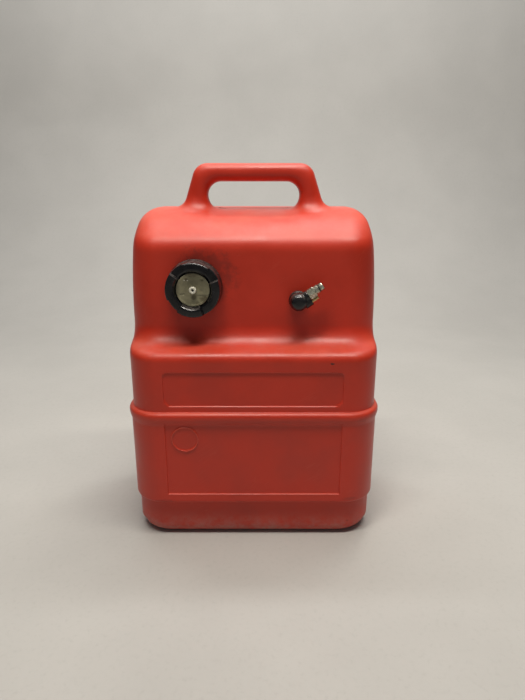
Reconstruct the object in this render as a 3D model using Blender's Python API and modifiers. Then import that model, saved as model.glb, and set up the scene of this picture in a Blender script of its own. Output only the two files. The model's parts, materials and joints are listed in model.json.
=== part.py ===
"""Upright portable fuel tank with a vented screw cap and a swivelling outlet.

Metres, +Z up, the front faces -Y, and the origin is under the middle of the
bounding box. Round pieces are modelled on two axes that stand out of the
recessed front panel, so their local +Z points out of the tank.
"""
import math

import bmesh
import bpy
import numpy as np
from mathutils import Matrix, Vector

GAP = 0.0003                  # clearance left between touching pieces

# Tank body
DEPTH = 0.215
RING_WIDTH = 0.357            # widest, at the moulded ring
ROOF_Z = 0.4635
WALL = 0.004
FOOT_IN = 0.0095              # insets from the ring, front and sides
BAND_IN = 0.0025
UPPER_IN = 0.006
RECESS_IN = 0.046
BASE_ROUND = 0.018
SEAM_Z = 0.0575               # lower lip of the label band
LIP_ROUND = 0.003
RING_Z = 0.1955               # top of the ring
RING_ROUND = 0.006
LEDGE_RISE = 0.0010           # how much the ring's top face slopes up to the front face
SHOULDER_Z = 0.2685           # start of the rounded shoulder edge
SHOULDER_ROUND = 0.012
SHOULDER_SLOPE = 18.0         # degrees above level
HOLLOW_ROUND = 0.012
ROLL_ANGLE = 48.0             # the roof's front edge is a tight bend, then a wide one
ROLL_LOW = 0.026
ROLL_HIGH = 0.137
SIDE_ROUND = 0.021
TAPER_Z = 0.3205              # above here the sides draw in by TAPER towards the roof
TAPER = 0.015
BACK_ROUND = 0.035
FRONT_CORNER = 0.050
BACK_CORNER = 0.030
CORNER_STEPS = 5
FRONT_Y = -DEPTH / 2
PANEL_Y = FRONT_Y + RECESS_IN

# Recessed panels on the front: half width, lowest z, highest z
LABEL_PANEL = (0.122, 0.0717, 0.1807)
NAME_PANEL = (0.1222, 0.2053, 0.2537)
PANEL_DEPTH = 0.0015
NAME_CORNER = 0.007

# Carry handle
HANDLE_Y = FRONT_Y + 0.134
HANDLE_TOP = 0.5240
HANDLE_RADIUS = 0.012
GRIP_X = 0.0466               # centre of the round end of the finger hole
GRIP_RADIUS = 0.0190
HANDLE_DEPTH_SCALE = 1.2
HANDLE_FOOT_SWELL = 0.10       # extra thickness beside the finger hole
HANDLE_CORNER_SWELL = 0.21     # and at the upper corners
CORNER_START = math.radians(30)
CORNER_SPAN = math.radians(50)

# Filler neck and cap; heights are measured out from the panel
CAP_X, CAP_Z = -0.0786, 0.3625
NECK_RADIUS = 0.026
NECK_BORE = 0.022
NECK_LENGTH = 0.015
THREAD_PITCH = 0.006
THREAD_DEPTH = 0.002
THREAD_STEPS = 28
CAP_BORE = NECK_RADIUS + THREAD_DEPTH + 0.0012
CAP_RADIUS = 0.0380
CAP_RIM_RADIUS = 0.0358
CAP_LENGTH = 0.029
CAP_CUP = 0.0226
GASKET_THICK = 0.002
WEB_LOW = NECK_LENGTH + GASKET_THICK + 2 * GAP
WEB_HIGH = WEB_LOW + 0.003
DISC_LOW = WEB_HIGH + GAP
DISC_HIGH = DISC_LOW + 0.0015
STEM_RADIUS = 0.0036
NOTCH_FIRST = 37.0
NOTCH_COUNT = 4
NOTCH_WIDTH = 0.0145
NOTCH_DEPTH = 0.0083

# Outlet: bushing, swivel nut and elbow
OUTLET_X, OUTLET_Z = 0.0605, 0.3455
TANK_HOLE = 0.009
BOSS_RADIUS = 0.0135
BOSS_DEPTH = 0.012
NUT_RADIUS = 0.0127
SWIVEL_SEAT = 0.0062          # top of the bushing, under the elbow's collar
NUT_TOP = 0.0092
ELBOW_HEIGHT = 0.0168         # elbow centre above the panel
HUB_RADIUS = 0.012
HUB_LOW = NUT_TOP + 2 * GAP
HUB_TOP = 0.0285
BARREL_RADIUS = 0.0073
BARREL_LENGTH = 0.0158
OUTLET_ANGLE = 35.5           # degrees above level, to the right
PASSAGE = 0.0026
NIPPLE_LENGTH = 0.0385        # elbow centre to the nipple's tip
PIN_OFFSET = 0.0095
TUBE_RADIUS = 0.0055
TUBE_BORE = 0.0043
TUBE_BEND = 0.028
TUBE_FOOT_Z = 0.020
STRAINER_Z = (0.008, 0.046)

ROUND = 32                    # sides of a large turned piece
SMALL = 20                    # sides of a small one


# ---------------------------------------------------------------- helpers
def clear_scene():
    for item in list(bpy.data.objects):
        bpy.data.objects.remove(item, do_unlink=True)


def make_collection(name):
    group = bpy.data.collections.new(name)
    bpy.context.scene.collection.children.link(group)
    return group


def make_material(name, colour, roughness, metallic=0.0):
    material = bpy.data.materials.new(name)
    material.use_nodes = True
    shader = material.node_tree.nodes["Principled BSDF"]
    shader.inputs["Base Color"].default_value = (*colour, 1.0)
    shader.inputs["Roughness"].default_value = roughness
    shader.inputs["Metallic"].default_value = metallic
    return material


def make_empty(name, location, rotation=(0, 0, 0), parent=None):
    empty = bpy.data.objects.new(name, None)
    empty.location = location
    empty.rotation_euler = rotation
    empty.parent = parent
    CUTTERS.objects.link(empty)
    return empty


def add_object(name, mesh, material=None, parent=None):
    """Link a mesh as a sub-part, or as a hidden cutter when it has no material."""
    item = bpy.data.objects.new(name, mesh)
    item.parent = parent
    if material:
        mesh.materials.append(material)
        PARTS.objects.link(item)
    else:
        CUTTERS.objects.link(item)
        item.hide_render = True
        item.display_type = "WIRE"
    return item


def smooth(item, angle=35.0):
    item.data.shade_smooth()
    item.data.set_sharp_from_angle(angle=math.radians(angle))


def mesh_from_bmesh(name, shape):
    bmesh.ops.recalc_face_normals(shape, faces=shape.faces)
    mesh = bpy.data.meshes.new(name)
    shape.to_mesh(mesh)
    shape.free()
    return mesh


def turned(name, profile, steps, material=None, parent=None):
    """Turn a closed (radius, height) outline about the local Z axis."""
    mesh = bpy.data.meshes.new(name)
    points = [(radius, 0.0, height) for radius, height in profile]
    edges = [(i, (i + 1) % len(points)) for i in range(len(points))]
    mesh.from_pydata(points, edges, [])
    item = add_object(name, mesh, material, parent)
    screw = item.modifiers.new("turn", "SCREW")
    screw.steps = steps
    screw.render_steps = steps
    screw.use_merge_vertices = True
    screw.merge_threshold = 0.00002
    return item


def rod(name, radius, low, high, steps=SMALL, parent=None, place=(0, 0, 0)):
    """A cylinder along local Z from low to high."""
    shape = bmesh.new()
    matrix = Matrix.Translation(Vector(place) + Vector((0, 0, (low + high) / 2)))
    bmesh.ops.create_cone(shape, cap_ends=True, segments=steps, radius1=radius,
                          radius2=radius, depth=high - low, matrix=matrix)
    return add_object(name, mesh_from_bmesh(name, shape), parent=parent)


def block(name, size, place, angle=0.0, parent=None):
    """A box of this size, turned about local Z and then centred on place."""
    shape = bmesh.new()
    matrix = Matrix.Rotation(math.radians(angle), 4, "Z") @ Matrix.Translation(Vector(place))
    bmesh.ops.create_cube(shape, size=1.0, matrix=matrix @ Matrix.Diagonal((*size, 1.0)))
    return add_object(name, mesh_from_bmesh(name, shape), parent=parent)


def boolean(item, other, operation):
    cut = item.modifiers.new(other.name, "BOOLEAN")
    cut.operation = operation
    cut.object = other
    cut.solver = "EXACT"


def frozen(item):
    """Replace an object's mesh or curve by its evaluated, welded mesh."""
    bpy.context.view_layer.update()
    evaluated = item.evaluated_get(bpy.context.evaluated_depsgraph_get())
    mesh = bpy.data.meshes.new_from_object(evaluated)
    shape = bmesh.new()
    shape.from_mesh(mesh)
    bmesh.ops.remove_doubles(shape, verts=shape.verts, dist=0.00001)
    bmesh.ops.recalc_face_normals(shape, faces=shape.faces)
    shape.to_mesh(mesh)
    shape.free()
    copy = add_object(item.name + "_mesh", mesh)
    copy.matrix_world = item.matrix_world
    bpy.data.objects.remove(item, do_unlink=True)
    return copy


def wire(name, points, radius, resolution=2, weights=None):
    """A POLY curve with a round section and filled caps."""
    curve = bpy.data.curves.new(name, "CURVE")
    curve.dimensions = "3D"
    curve.bevel_depth = radius
    curve.bevel_resolution = resolution
    curve.use_fill_caps = True
    spline = curve.splines.new("POLY")
    spline.points.add(len(points) - 1)
    for i, point in enumerate(points):
        spline.points[i].co = (*point, 1.0)
        if weights:
            spline.points[i].radius = weights[i]
    item = bpy.data.objects.new(name, curve)
    CUTTERS.objects.link(item)
    return item


def adopt(item, name, material, parent=None):
    """Turn a finished mesh object into a sub-part under this name."""
    CUTTERS.objects.unlink(item)
    PARTS.objects.link(item)
    item.name = name
    item.hide_render = False
    item.display_type = "TEXTURED"
    item.data.materials.clear()
    item.data.materials.append(material)
    if parent:
        item.parent = parent
    return item


def thread_ridge(name, root, crest, low, high, parent):
    """A right-hand helical ridge, buried at root and tapering away at both ends."""
    turns = (high - low) / THREAD_PITCH
    count = int(turns * THREAD_STEPS)
    shape = bmesh.new()
    rows = []
    for i in range(count + 1):
        angle = 2 * math.pi * turns * i / count
        height = low + (high - low) * i / count
        rise = min(1.0, min(i, count - i) / 4.0)
        tip = root + (crest - root) * (0.15 + 0.85 * rise)
        outline = ((root, -0.0015), (tip, -0.0006), (tip, 0.0006), (root, 0.0015))
        rows.append([shape.verts.new((r * math.cos(angle), r * math.sin(angle), height + h))
                     for r, h in outline])
    for near, far in zip(rows, rows[1:]):
        for j in range(4):
            shape.faces.new((near[j], near[(j + 1) % 4], far[(j + 1) % 4], far[j]))
    shape.faces.new(rows[0])
    shape.faces.new(rows[-1])
    return add_object(name, mesh_from_bmesh(name, shape), parent=parent)


def coil(name, radius, wire_radius, low, high, turns, material, parent):
    """A compression spring, as a many-sided wire wound round local Z."""
    steps = int(turns * 12)
    points = []
    for i in range(steps + 1):
        angle = 2 * math.pi * turns * i / steps
        height = low + (high - low) * i / steps
        points.append((radius * math.cos(angle), radius * math.sin(angle), height))
    spring = frozen(wire(name + "_wire", points, wire_radius, resolution=1))
    return adopt(spring, name, material, parent)


def ring_outline(low, high, inner, outer):
    return [(outer, high), (outer, low), (inner, low), (inner, high)]


# ------------------------------------------------------------------- tank
def arc(centre, radius, start, end, steps):
    """Points (inset, height) round an arc, from start to end in degrees."""
    angles = np.radians(np.linspace(start, end, steps + 1))
    return [(centre[0] + radius * math.cos(a), centre[1] + radius * math.sin(a)) for a in angles]


def front_profile(ring=True):
    """Front outline from the base up to the roof, as (inset, height) points."""
    points = arc((FOOT_IN + BASE_ROUND, BASE_ROUND), BASE_ROUND, -90, -180, 4)
    points.append((FOOT_IN, SEAM_Z))
    if ring:
        lip = (BAND_IN + LIP_ROUND, SEAM_Z + LIP_ROUND)
        points += arc(lip, LIP_ROUND, -90, -180, 2)
        points += [(BAND_IN, RING_Z - 0.018), (0.0, RING_Z - 0.009)]
        points += arc((RING_ROUND, RING_Z - RING_ROUND), RING_ROUND, 180, 90, 3)
        points.append((UPPER_IN, RING_Z + LEDGE_RISE))
    else:
        points += [(BAND_IN, SEAM_Z + 0.001), (BAND_IN, RING_Z - 0.002), (UPPER_IN, RING_Z)]
    tilt = math.radians(SHOULDER_SLOPE)
    edge = arc((UPPER_IN + SHOULDER_ROUND, SHOULDER_Z), SHOULDER_ROUND, 180,
               90 + SHOULDER_SLOPE, 3)
    reach = RECESS_IN - HOLLOW_ROUND * (1 - math.sin(tilt)) - edge[-1][0]
    centre_z = edge[-1][1] + reach * math.tan(tilt) + HOLLOW_ROUND * math.cos(tilt)
    points += edge
    points += arc((RECESS_IN - HOLLOW_ROUND, centre_z), HOLLOW_ROUND, SHOULDER_SLOPE - 90, 0, 3)
    bend = math.radians(ROLL_ANGLE)
    high_z = ROOF_Z - ROLL_HIGH
    low_z = high_z + (ROLL_HIGH - ROLL_LOW) * math.sin(bend)
    high_in = RECESS_IN + ROLL_LOW + (ROLL_HIGH - ROLL_LOW) * math.cos(bend)
    points += arc((RECESS_IN + ROLL_LOW, low_z), ROLL_LOW, 180, 180 - ROLL_ANGLE, 4)
    points += arc((high_in, high_z), ROLL_HIGH, 180 - ROLL_ANGLE, 90, 7)[1:]
    return points


def offset_profile(points, distance):
    """The same outline moved inwards, square to its own surface."""
    path = np.array(points)
    tangent = np.gradient(path, axis=0)
    tangent /= np.linalg.norm(tangent, axis=1)[:, None]
    return [(p[0] + t[1] * distance, p[1] - t[0] * distance) for p, t in zip(path, tangent)]


def round_in(height, radius):
    """How far a quarter round has turned in at this height above its start."""
    height = min(max(height, 0.0), radius)
    return radius - math.sqrt(radius ** 2 - height ** 2)


def body_section(front, z, wall):
    """Rounded rectangle at one height; wall is how far inside the outer face it lies."""
    side = min(front, UPPER_IN + wall) if z < SHOULDER_Z else UPPER_IN + wall
    side_round = SIDE_ROUND - wall
    back_round = BACK_ROUND - wall
    roof = ROOF_Z - wall
    side += round_in(z - (roof - side_round), side_round)
    side += TAPER * (max(z - TAPER_Z, 0.0) / (ROOF_Z - TAPER_Z)) ** 2
    back = wall + round_in(z - (roof - back_round), back_round)
    shrink = side
    if z < BASE_ROUND:
        side = front
        shrink = FOOT_IN + wall
        back = front - FOOT_IN
    half = RING_WIDTH / 2 - side
    y_front = FRONT_Y + front
    y_back = DEPTH / 2 - back
    corners = ((half, y_back, BACK_CORNER, 0), (-half, y_back, BACK_CORNER, 90),
               (-half, y_front, FRONT_CORNER, 180), (half, y_front, FRONT_CORNER, 270))
    outline = []
    for x, y, radius, start in corners:
        radius = max(radius - shrink, 0.006)
        middle_x = x - math.copysign(radius, x)
        middle_y = y - radius if start < 180 else y + radius
        for angle in np.radians(np.linspace(start, start + 90, CORNER_STEPS + 1)):
            outline.append((middle_x + radius * math.cos(angle),
                            middle_y + radius * math.sin(angle), z))
    return outline


def loft(name, sections, material=None):
    """Skin a stack of sections that have the same number of points."""
    shape = bmesh.new()
    rows = [[shape.verts.new(point) for point in section] for section in sections]
    count = len(rows[0])
    for lower, upper in zip(rows, rows[1:]):
        for i in range(count):
            j = (i + 1) % count
            shape.faces.new((lower[i], lower[j], upper[j], upper[i]))
    shape.faces.new(rows[0])
    shape.faces.new(rows[-1])
    bmesh.ops.triangulate(shape, faces=[f for f in shape.faces if len(f.verts) == 4])
    return add_object(name, mesh_from_bmesh(name, shape), material)


def panel_cutter(name, half, low, high, corner):
    """A flat outline with round top corners and bevelled bottom corners."""
    outline = []
    for sign, start in ((1, 0), (-1, 90)):
        for angle in np.radians(np.linspace(start, start + 90, 5)):
            outline.append((sign * (half - corner) + corner * math.cos(angle),
                            high - corner + corner * math.sin(angle)))
    outline += [(-half, low + corner), (corner - half, low), (half - corner, low),
                (half, low + corner)]
    curve = bpy.data.curves.new(name, "CURVE")
    curve.dimensions = "2D"
    curve.fill_mode = "BOTH"
    curve.extrude = PANEL_DEPTH
    spline = curve.splines.new("POLY")
    spline.points.add(len(outline) - 1)
    for i, (x, z) in enumerate(outline):
        spline.points[i].co = (x, z, 0, 1)
    spline.use_cyclic_u = True
    item = bpy.data.objects.new(name, curve)
    item.rotation_euler = (math.pi / 2, 0, 0)
    CUTTERS.objects.link(item)
    return frozen(item)


def handle_path():
    """Centre line of the handle and its relative thickness, from leg to leg."""
    grip_z = HANDLE_TOP - 2 * HANDLE_RADIUS - GRIP_RADIUS
    legs = ((0.0790, 2.6), (0.0790, 2.6), (0.0810, 2.15), (0.0815, 1.8), (0.0815, 1.52),
            (0.0813, 1.32))
    drops = (0.0270, 0.0210, 0.0165, 0.0135, 0.0100, 0.0055)
    route = [((x, 0, grip_z - drop), weight) for (x, weight), drop in zip(legs, drops)]
    for angle in np.radians(np.linspace(0, 90, 7)):
        turned_by = min(max(angle - CORNER_START, 0.0), CORNER_SPAN)
        corner = math.sin(math.pi * turned_by / CORNER_SPAN) ** 2
        swell = 1.0 + HANDLE_FOOT_SWELL * math.cos(angle) + HANDLE_CORNER_SWELL * corner
        reach = GRIP_RADIUS + HANDLE_RADIUS * swell
        route.append(((GRIP_X + reach * math.cos(angle), 0, grip_z + reach * math.sin(angle)),
                      swell))
    left = [((-x, y, z), weight) for (x, y, z), weight in reversed(route)]
    return route + left


def make_handle():
    route = handle_path()
    item = wire("handle_curve", [p for p, _ in route], HANDLE_RADIUS, 3, [w for _, w in route])
    item.scale = (1, HANDLE_DEPTH_SCALE, 1)
    item.location = (0, HANDLE_Y, 0)
    return frozen(item)


def make_tank(material):
    profile = front_profile()
    tank = loft("tank_shell", [body_section(f, z, 0.0) for f, z in profile], material)
    inner = offset_profile(front_profile(ring=False), WALL)
    cavity = loft("cavity", [body_section(f, z, WALL) for f, z in inner])
    boolean(tank, cavity, "DIFFERENCE")
    boolean(tank, make_handle(), "UNION")
    boolean(tank, rod("neck", NECK_RADIUS, -WALL + 0.001, NECK_LENGTH, ROUND,
                      parent=CAP_AXIS), "UNION")
    ridge = thread_ridge("neck_thread", NECK_RADIUS - 0.0006, NECK_RADIUS + THREAD_DEPTH,
                         0.0035, NECK_LENGTH - 0.002, CAP_AXIS)
    boolean(tank, ridge, "UNION")
    boolean(tank, rod("outlet_boss", BOSS_RADIUS, -BOSS_DEPTH, -0.001, ROUND,
                      parent=OUTLET_AXIS), "UNION")
    boolean(tank, rod("neck_bore", NECK_BORE, -0.02, NECK_LENGTH + 0.01, ROUND,
                      parent=CAP_AXIS), "DIFFERENCE")
    boolean(tank, rod("outlet_hole", TANK_HOLE, -0.02, 0.02, SMALL,
                      parent=OUTLET_AXIS), "DIFFERENCE")
    half, low, high = LABEL_PANEL
    label = block("label_cut", (2 * half, 2 * PANEL_DEPTH, high - low),
                  (0, FRONT_Y + BAND_IN, (low + high) / 2))
    boolean(tank, label, "DIFFERENCE")
    name_cut = panel_cutter("name_cut", *NAME_PANEL, NAME_CORNER)
    name_cut.location.y = FRONT_Y + UPPER_IN
    boolean(tank, name_cut, "DIFFERENCE")


# -------------------------------------------------------------------- cap
def make_cap_shell(material):
    skirt = 0.0008
    profile = [
        (CAP_RIM_RADIUS - 0.002, CAP_LENGTH), (CAP_RIM_RADIUS, CAP_LENGTH - 0.002),
        (CAP_RIM_RADIUS + 0.0006, CAP_LENGTH - 0.010), (CAP_RADIUS - 0.001, 0.006),
        (CAP_RADIUS, skirt + 0.001), (CAP_RADIUS - 0.0006, skirt),
        (CAP_BORE + 0.001, skirt), (CAP_BORE, skirt + 0.001), (CAP_BORE, WEB_LOW),
        (STEM_RADIUS + GAP, WEB_LOW), (STEM_RADIUS + GAP, WEB_HIGH), (CAP_CUP, WEB_HIGH),
        (CAP_CUP + 0.0022, CAP_LENGTH - 0.0015), (CAP_CUP + 0.0034, CAP_LENGTH)]
    cap = turned("cap_shell", profile, ROUND, material, CAP_AXIS)
    ridge = thread_ridge("cap_thread", CAP_BORE + 0.0006, CAP_BORE - THREAD_DEPTH,
                         0.0035 + THREAD_PITCH / 2, 0.0035 + THREAD_PITCH * 1.5, CAP_AXIS)
    boolean(cap, ridge, "UNION")
    reach = (CAP_CUP + CAP_RADIUS) / 2
    for i in range(NOTCH_COUNT):
        angle = NOTCH_FIRST + 360 / NOTCH_COUNT * i
        notch = block(f"notch_{i}", (CAP_RADIUS - CAP_CUP + 0.006, NOTCH_WIDTH, 0.02),
                      (reach, 0, CAP_LENGTH - NOTCH_DEPTH + 0.01), angle, parent=CAP_AXIS)
        boolean(cap, notch, "DIFFERENCE")
    return cap


def make_cap_fittings(rubber, olive, pale, steel, black):
    gasket_low = NECK_LENGTH + GAP
    turned("cap_gasket", ring_outline(gasket_low, gasket_low + GASKET_THICK, 0.0195,
                                      CAP_BORE - THREAD_DEPTH * 0.4), ROUND, rubber, CAP_AXIS)
    turned("cap_disc", ring_outline(DISC_LOW, DISC_HIGH, STEM_RADIUS + GAP,
                                    CAP_CUP - 0.0005), ROUND, olive, CAP_AXIS)
    bore = 0.0019
    stem_low = WEB_LOW - 0.003
    nipple = DISC_HIGH + 0.0038
    turned("vent_stem", [
        (0.0040, nipple), (0.0049, nipple - 0.0009), (0.0049, DISC_HIGH + GAP),
        (STEM_RADIUS, DISC_HIGH + GAP), (STEM_RADIUS, stem_low), (bore, stem_low),
        (bore, nipple)], SMALL, pale, CAP_AXIS)
    cage_high = WEB_LOW - GAP
    turned("vent_cage", [
        (0.0092, cage_high), (0.0092, cage_high - 0.0015), (0.0082, cage_high - 0.0015),
        (0.0078, 0.0082), (0.0022, 0.0082), (0.0022, 0.0094), (0.0064, 0.0094),
        (0.0068, cage_high)], SMALL, black, CAP_AXIS)
    disc_high = stem_low - GAP
    turned("vent_poppet", [
        (0.0, stem_low + 0.0075), (0.0011, stem_low + 0.0075), (0.0013, disc_high),
        (0.0052, disc_high), (0.0052, disc_high - 0.0014), (0.0015, disc_high - 0.0014),
        (0.0015, 0.0076), (0.0, 0.0076)], SMALL, rubber, CAP_AXIS)
    coil("vent_spring", 0.0034, 0.0003, 0.0098, disc_high - 0.0019, 3, steel, CAP_AXIS)


# ----------------------------------------------------------------- outlet
def make_bushing(black, rubber):
    turned("pickup_gasket", ring_outline(GAP, 0.0018, TANK_HOLE + 0.0004, NUT_RADIUS - 0.0003),
           ROUND, rubber, OUTLET_AXIS)
    tail = -0.032
    profile = [
        (0.0095, SWIVEL_SEAT), (0.0096, 0.0036), (NUT_RADIUS - 0.0002, 0.0036),
        (NUT_RADIUS - 0.0002, 0.0021), (TANK_HOLE - GAP, 0.0021), (TANK_HOLE - GAP, -0.014),
        (0.0036, -0.014)]
    for barb in range(3):
        low = -0.0185 - barb * 0.0045
        profile += [(0.0036, low + 0.0005), (0.0040, low), (0.0034, low - 0.003)]
    profile += [(0.0034, tail), (PASSAGE, tail), (PASSAGE, -0.004), (0.0063, -0.004),
                (0.0063, SWIVEL_SEAT)]
    turned("pickup_bushing", profile, 24, black, OUTLET_AXIS)
    turned("swivel_nut", [
        (0.0118, NUT_TOP), (NUT_RADIUS, NUT_TOP - 0.0011), (NUT_RADIUS, 0.0039), (0.0099, 0.0039),
        (0.0099, NUT_TOP - 0.0014), (0.0079, NUT_TOP - 0.0014), (0.0079, NUT_TOP)],
        ROUND, black, OUTLET_AXIS)


def make_elbow(black, rubber):
    stub = 0.0059
    groove = 0.0046
    collar = SWIVEL_SEAT + GAP
    body = turned("elbow", [
        (0.0, HUB_TOP), (HUB_RADIUS * 0.5, HUB_TOP - 0.0008),
        (HUB_RADIUS * 0.8, HUB_TOP - 0.0031), (HUB_RADIUS * 0.96, HUB_TOP - 0.0071),
        (HUB_RADIUS, HUB_TOP - 0.0118), (HUB_RADIUS, HUB_LOW + 0.001),
        (HUB_RADIUS - 0.001, HUB_LOW), (0.0074, HUB_LOW), (0.0074, collar + 0.0009),
        (0.0092, collar + 0.0009), (0.0092, collar), (stub, collar), (stub, 0.0030),
        (groove, 0.0030), (groove, 0.0010),
        (stub, 0.0010), (stub, -0.0036), (0.0, -0.0036)], 24, black, OUTLET_AXIS)
    barrel = rod("barrel", BARREL_RADIUS, 0.002, BARREL_LENGTH, 24, parent=SPOUT_AXIS)
    boolean(body, barrel, "UNION")
    ear = rod("pin_boss", 0.0050, 0.003, BARREL_LENGTH - 0.0004, SMALL, parent=SPOUT_AXIS,
              place=(0.0003 - PIN_OFFSET, 0, 0))
    boolean(body, ear, "UNION")
    web = block("pin_web", (PIN_OFFSET - 0.0003, 0.0094, BARREL_LENGTH - 0.0044),
                ((0.0003 - PIN_OFFSET) / 2, 0, BARREL_LENGTH / 2 + 0.0015), parent=SPOUT_AXIS)
    boolean(body, web, "UNION")
    boolean(body, rod("rise", PASSAGE, -0.01, ELBOW_HEIGHT, 12, parent=OUTLET_AXIS), "DIFFERENCE")
    boolean(body, rod("run", PASSAGE, -0.0005, 0.03, 12, parent=SPOUT_AXIS), "DIFFERENCE")
    boolean(body, rod("socket", 0.0051, 0.0075, 0.03, SMALL, parent=SPOUT_AXIS), "DIFFERENCE")
    boolean(body, rod("pin_hole", 0.0027, 0.009, 0.03, 12, parent=SPOUT_AXIS,
                      place=(-PIN_OFFSET, 0, 0)), "DIFFERENCE")
    ring("elbow_o_ring", 0.00535, 0.00055, 0.0020, rubber, OUTLET_AXIS, SMALL)


def ring(name, radius, thickness, height, material, parent, steps):
    """An O-ring: a small circle turned about local Z."""
    outline = [(radius + thickness * math.cos(a), height + thickness * math.sin(a))
               for a in np.radians(np.arange(90, -270, -60))]
    return turned(name, outline, steps, material, parent)


def make_nipple(steel, brass, rubber):
    root = BARREL_LENGTH + GAP
    collar = root + 0.0098
    tip = NIPPLE_LENGTH
    bore = 0.0024
    nipple = turned("connector_nipple", [
        (0.0043, tip), (0.0051, tip - 0.0010), (0.0051, tip - 0.0052), (0.0042, tip - 0.0054),
        (0.0042, tip - 0.0070), (0.0060, tip - 0.0072), (0.0060, collar), (0.0050, collar),
        (0.0048, root), (0.0048, 0.0080), (bore, 0.0080), (bore, tip - 0.0016),
        (0.0020, tip - 0.0014), (0.0020, tip)], 24, steel, SPOUT_AXIS)
    boolean(nipple, hexagon("collar", 0.0066, root, collar + GAP, bore + 0.0015, SPOUT_AXIS), "UNION")
    ring("connector_seal", 0.0050, 0.00055, tip - 0.0062, rubber, SPOUT_AXIS, SMALL)
    turned("guide_pin", [
        (0.0, root + 0.0092), (0.0018, root + 0.0092), (0.0024, root + 0.0086), (0.0024, 0.0094),
        (0.0, 0.0094)], 16, brass, SPOUT_AXIS).location = (-PIN_OFFSET, 0, 0)
    seat = 0.0190
    turned("check_seat", ring_outline(seat, seat + 0.0012, 0.0010, bore - GAP), 12, brass,
           SPOUT_AXIS)
    turned("check_plunger", [
        (0.0, tip - 0.0002), (0.0014, tip - 0.0002), (0.0016, tip - 0.0020),
        (0.0020, tip - 0.0024), (0.0020, tip - 0.0050), (0.0006, tip - 0.0052),
        (0.0006, seat + 0.0042), (0.0, seat + 0.0042)], 12, brass, SPOUT_AXIS)
    coil("check_spring", 0.0015, 0.0002, seat + 0.0017, tip - 0.0058, 5, steel, SPOUT_AXIS)


def hexagon(name, flat_radius, low, high, hole, parent):
    """A hexagonal collar, as a hollow prism."""
    prism = rod(name, flat_radius / math.cos(math.pi / 6), low, high, 6, parent=parent)
    boolean(prism, rod(name + "_hole", hole, low - 0.01, high + 0.01, 12, parent=parent),
            "DIFFERENCE")
    return prism


# ----------------------------------------------------------------- pickup
def tube_route():
    """Centre line of the dip tube: back into the tank, round a bend, and down."""
    start_y = PANEL_Y + 0.0155
    bend_y = PANEL_Y + 0.034
    points = [(OUTLET_X, start_y, OUTLET_Z), (OUTLET_X, PANEL_Y + 0.026, OUTLET_Z)]
    for angle in np.radians(np.linspace(0, 90, 7)):
        points.append((OUTLET_X, bend_y + TUBE_BEND * math.sin(angle),
                       OUTLET_Z - TUBE_BEND * (1 - math.cos(angle))))
    for z in np.linspace(OUTLET_Z - TUBE_BEND - 0.06, TUBE_FOOT_Z, 4):
        points.append((OUTLET_X, bend_y + TUBE_BEND, z))
    return points


def make_pickup(black, steel, gauze):
    route = tube_route()
    tube = adopt(frozen(wire("tube_outer", route, TUBE_RADIUS, 2)), "pickup_tube", black)
    first = Vector(route[0]) - Vector((0, 0.002, 0))
    last = Vector(route[-1]) - Vector((0, 0, 0.002))
    inside = frozen(wire("tube_inner", [first, *route[1:-1], last], TUBE_BORE, 2))
    boolean(tube, inside, "DIFFERENCE")
    clamp = turned("tube_clamp", ring_outline(-0.0245, -0.0185, TUBE_RADIUS + 0.0004,
                                              TUBE_RADIUS + 0.0013), 24, steel, OUTLET_AXIS)
    boolean(clamp, block("clamp_gap", (0.0022, 0.01, 0.02), (0, 0.008, -0.021),
                         parent=OUTLET_AXIS), "DIFFERENCE")
    for i, x in enumerate((-0.0018, 0.0018)):
        ear = block(f"clamp_ear_{i}", (0.0012, 0.005, 0.0056), (x, 0.0086, -0.0215),
                    parent=OUTLET_AXIS)
        boolean(clamp, ear, "UNION")
    foot = make_empty("strainer_axis", (OUTLET_X, route[-1][1], 0))
    low, high = STRAINER_Z
    cage = turned("strainer_body", [
        (0.0078, high), (0.0086, high - 0.003), (0.0086, low), (0.0022, low),
        (0.0022, low + 0.0014), (0.0074, low + 0.0014), (0.0074, high - 0.010),
        (TUBE_RADIUS + 0.0004, high - 0.009), (TUBE_RADIUS + 0.0004, high)], 24, black, foot)
    for i in range(4):
        window = block(f"window_{i}", (0.02, 0.0068, 0.016), (0.0115, 0, (low + high) / 2 - 0.004),
                       i * 90 + 45, parent=foot)
        boolean(cage, window, "DIFFERENCE")
    turned("strainer_mesh", ring_outline(low + 0.0018, high - 0.0108, 0.0064, 0.0070), 24,
           gauze, foot)


# ------------------------------------------------------------------- main
clear_scene()
PARTS = make_collection("portable_fuel_tank")
CUTTERS = make_collection("cutters")
OUTWARD = (math.pi / 2, 0, 0)
CAP_AXIS = make_empty("cap_axis", (CAP_X, PANEL_Y, CAP_Z), OUTWARD)
OUTLET_AXIS = make_empty("outlet_axis", (OUTLET_X, PANEL_Y, OUTLET_Z), OUTWARD)
SPOUT_AXIS = make_empty("spout_axis", (0, 0, ELBOW_HEIGHT),
                        (math.pi / 2, 0, math.pi / 2 + math.radians(OUTLET_ANGLE)), OUTLET_AXIS)


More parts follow.
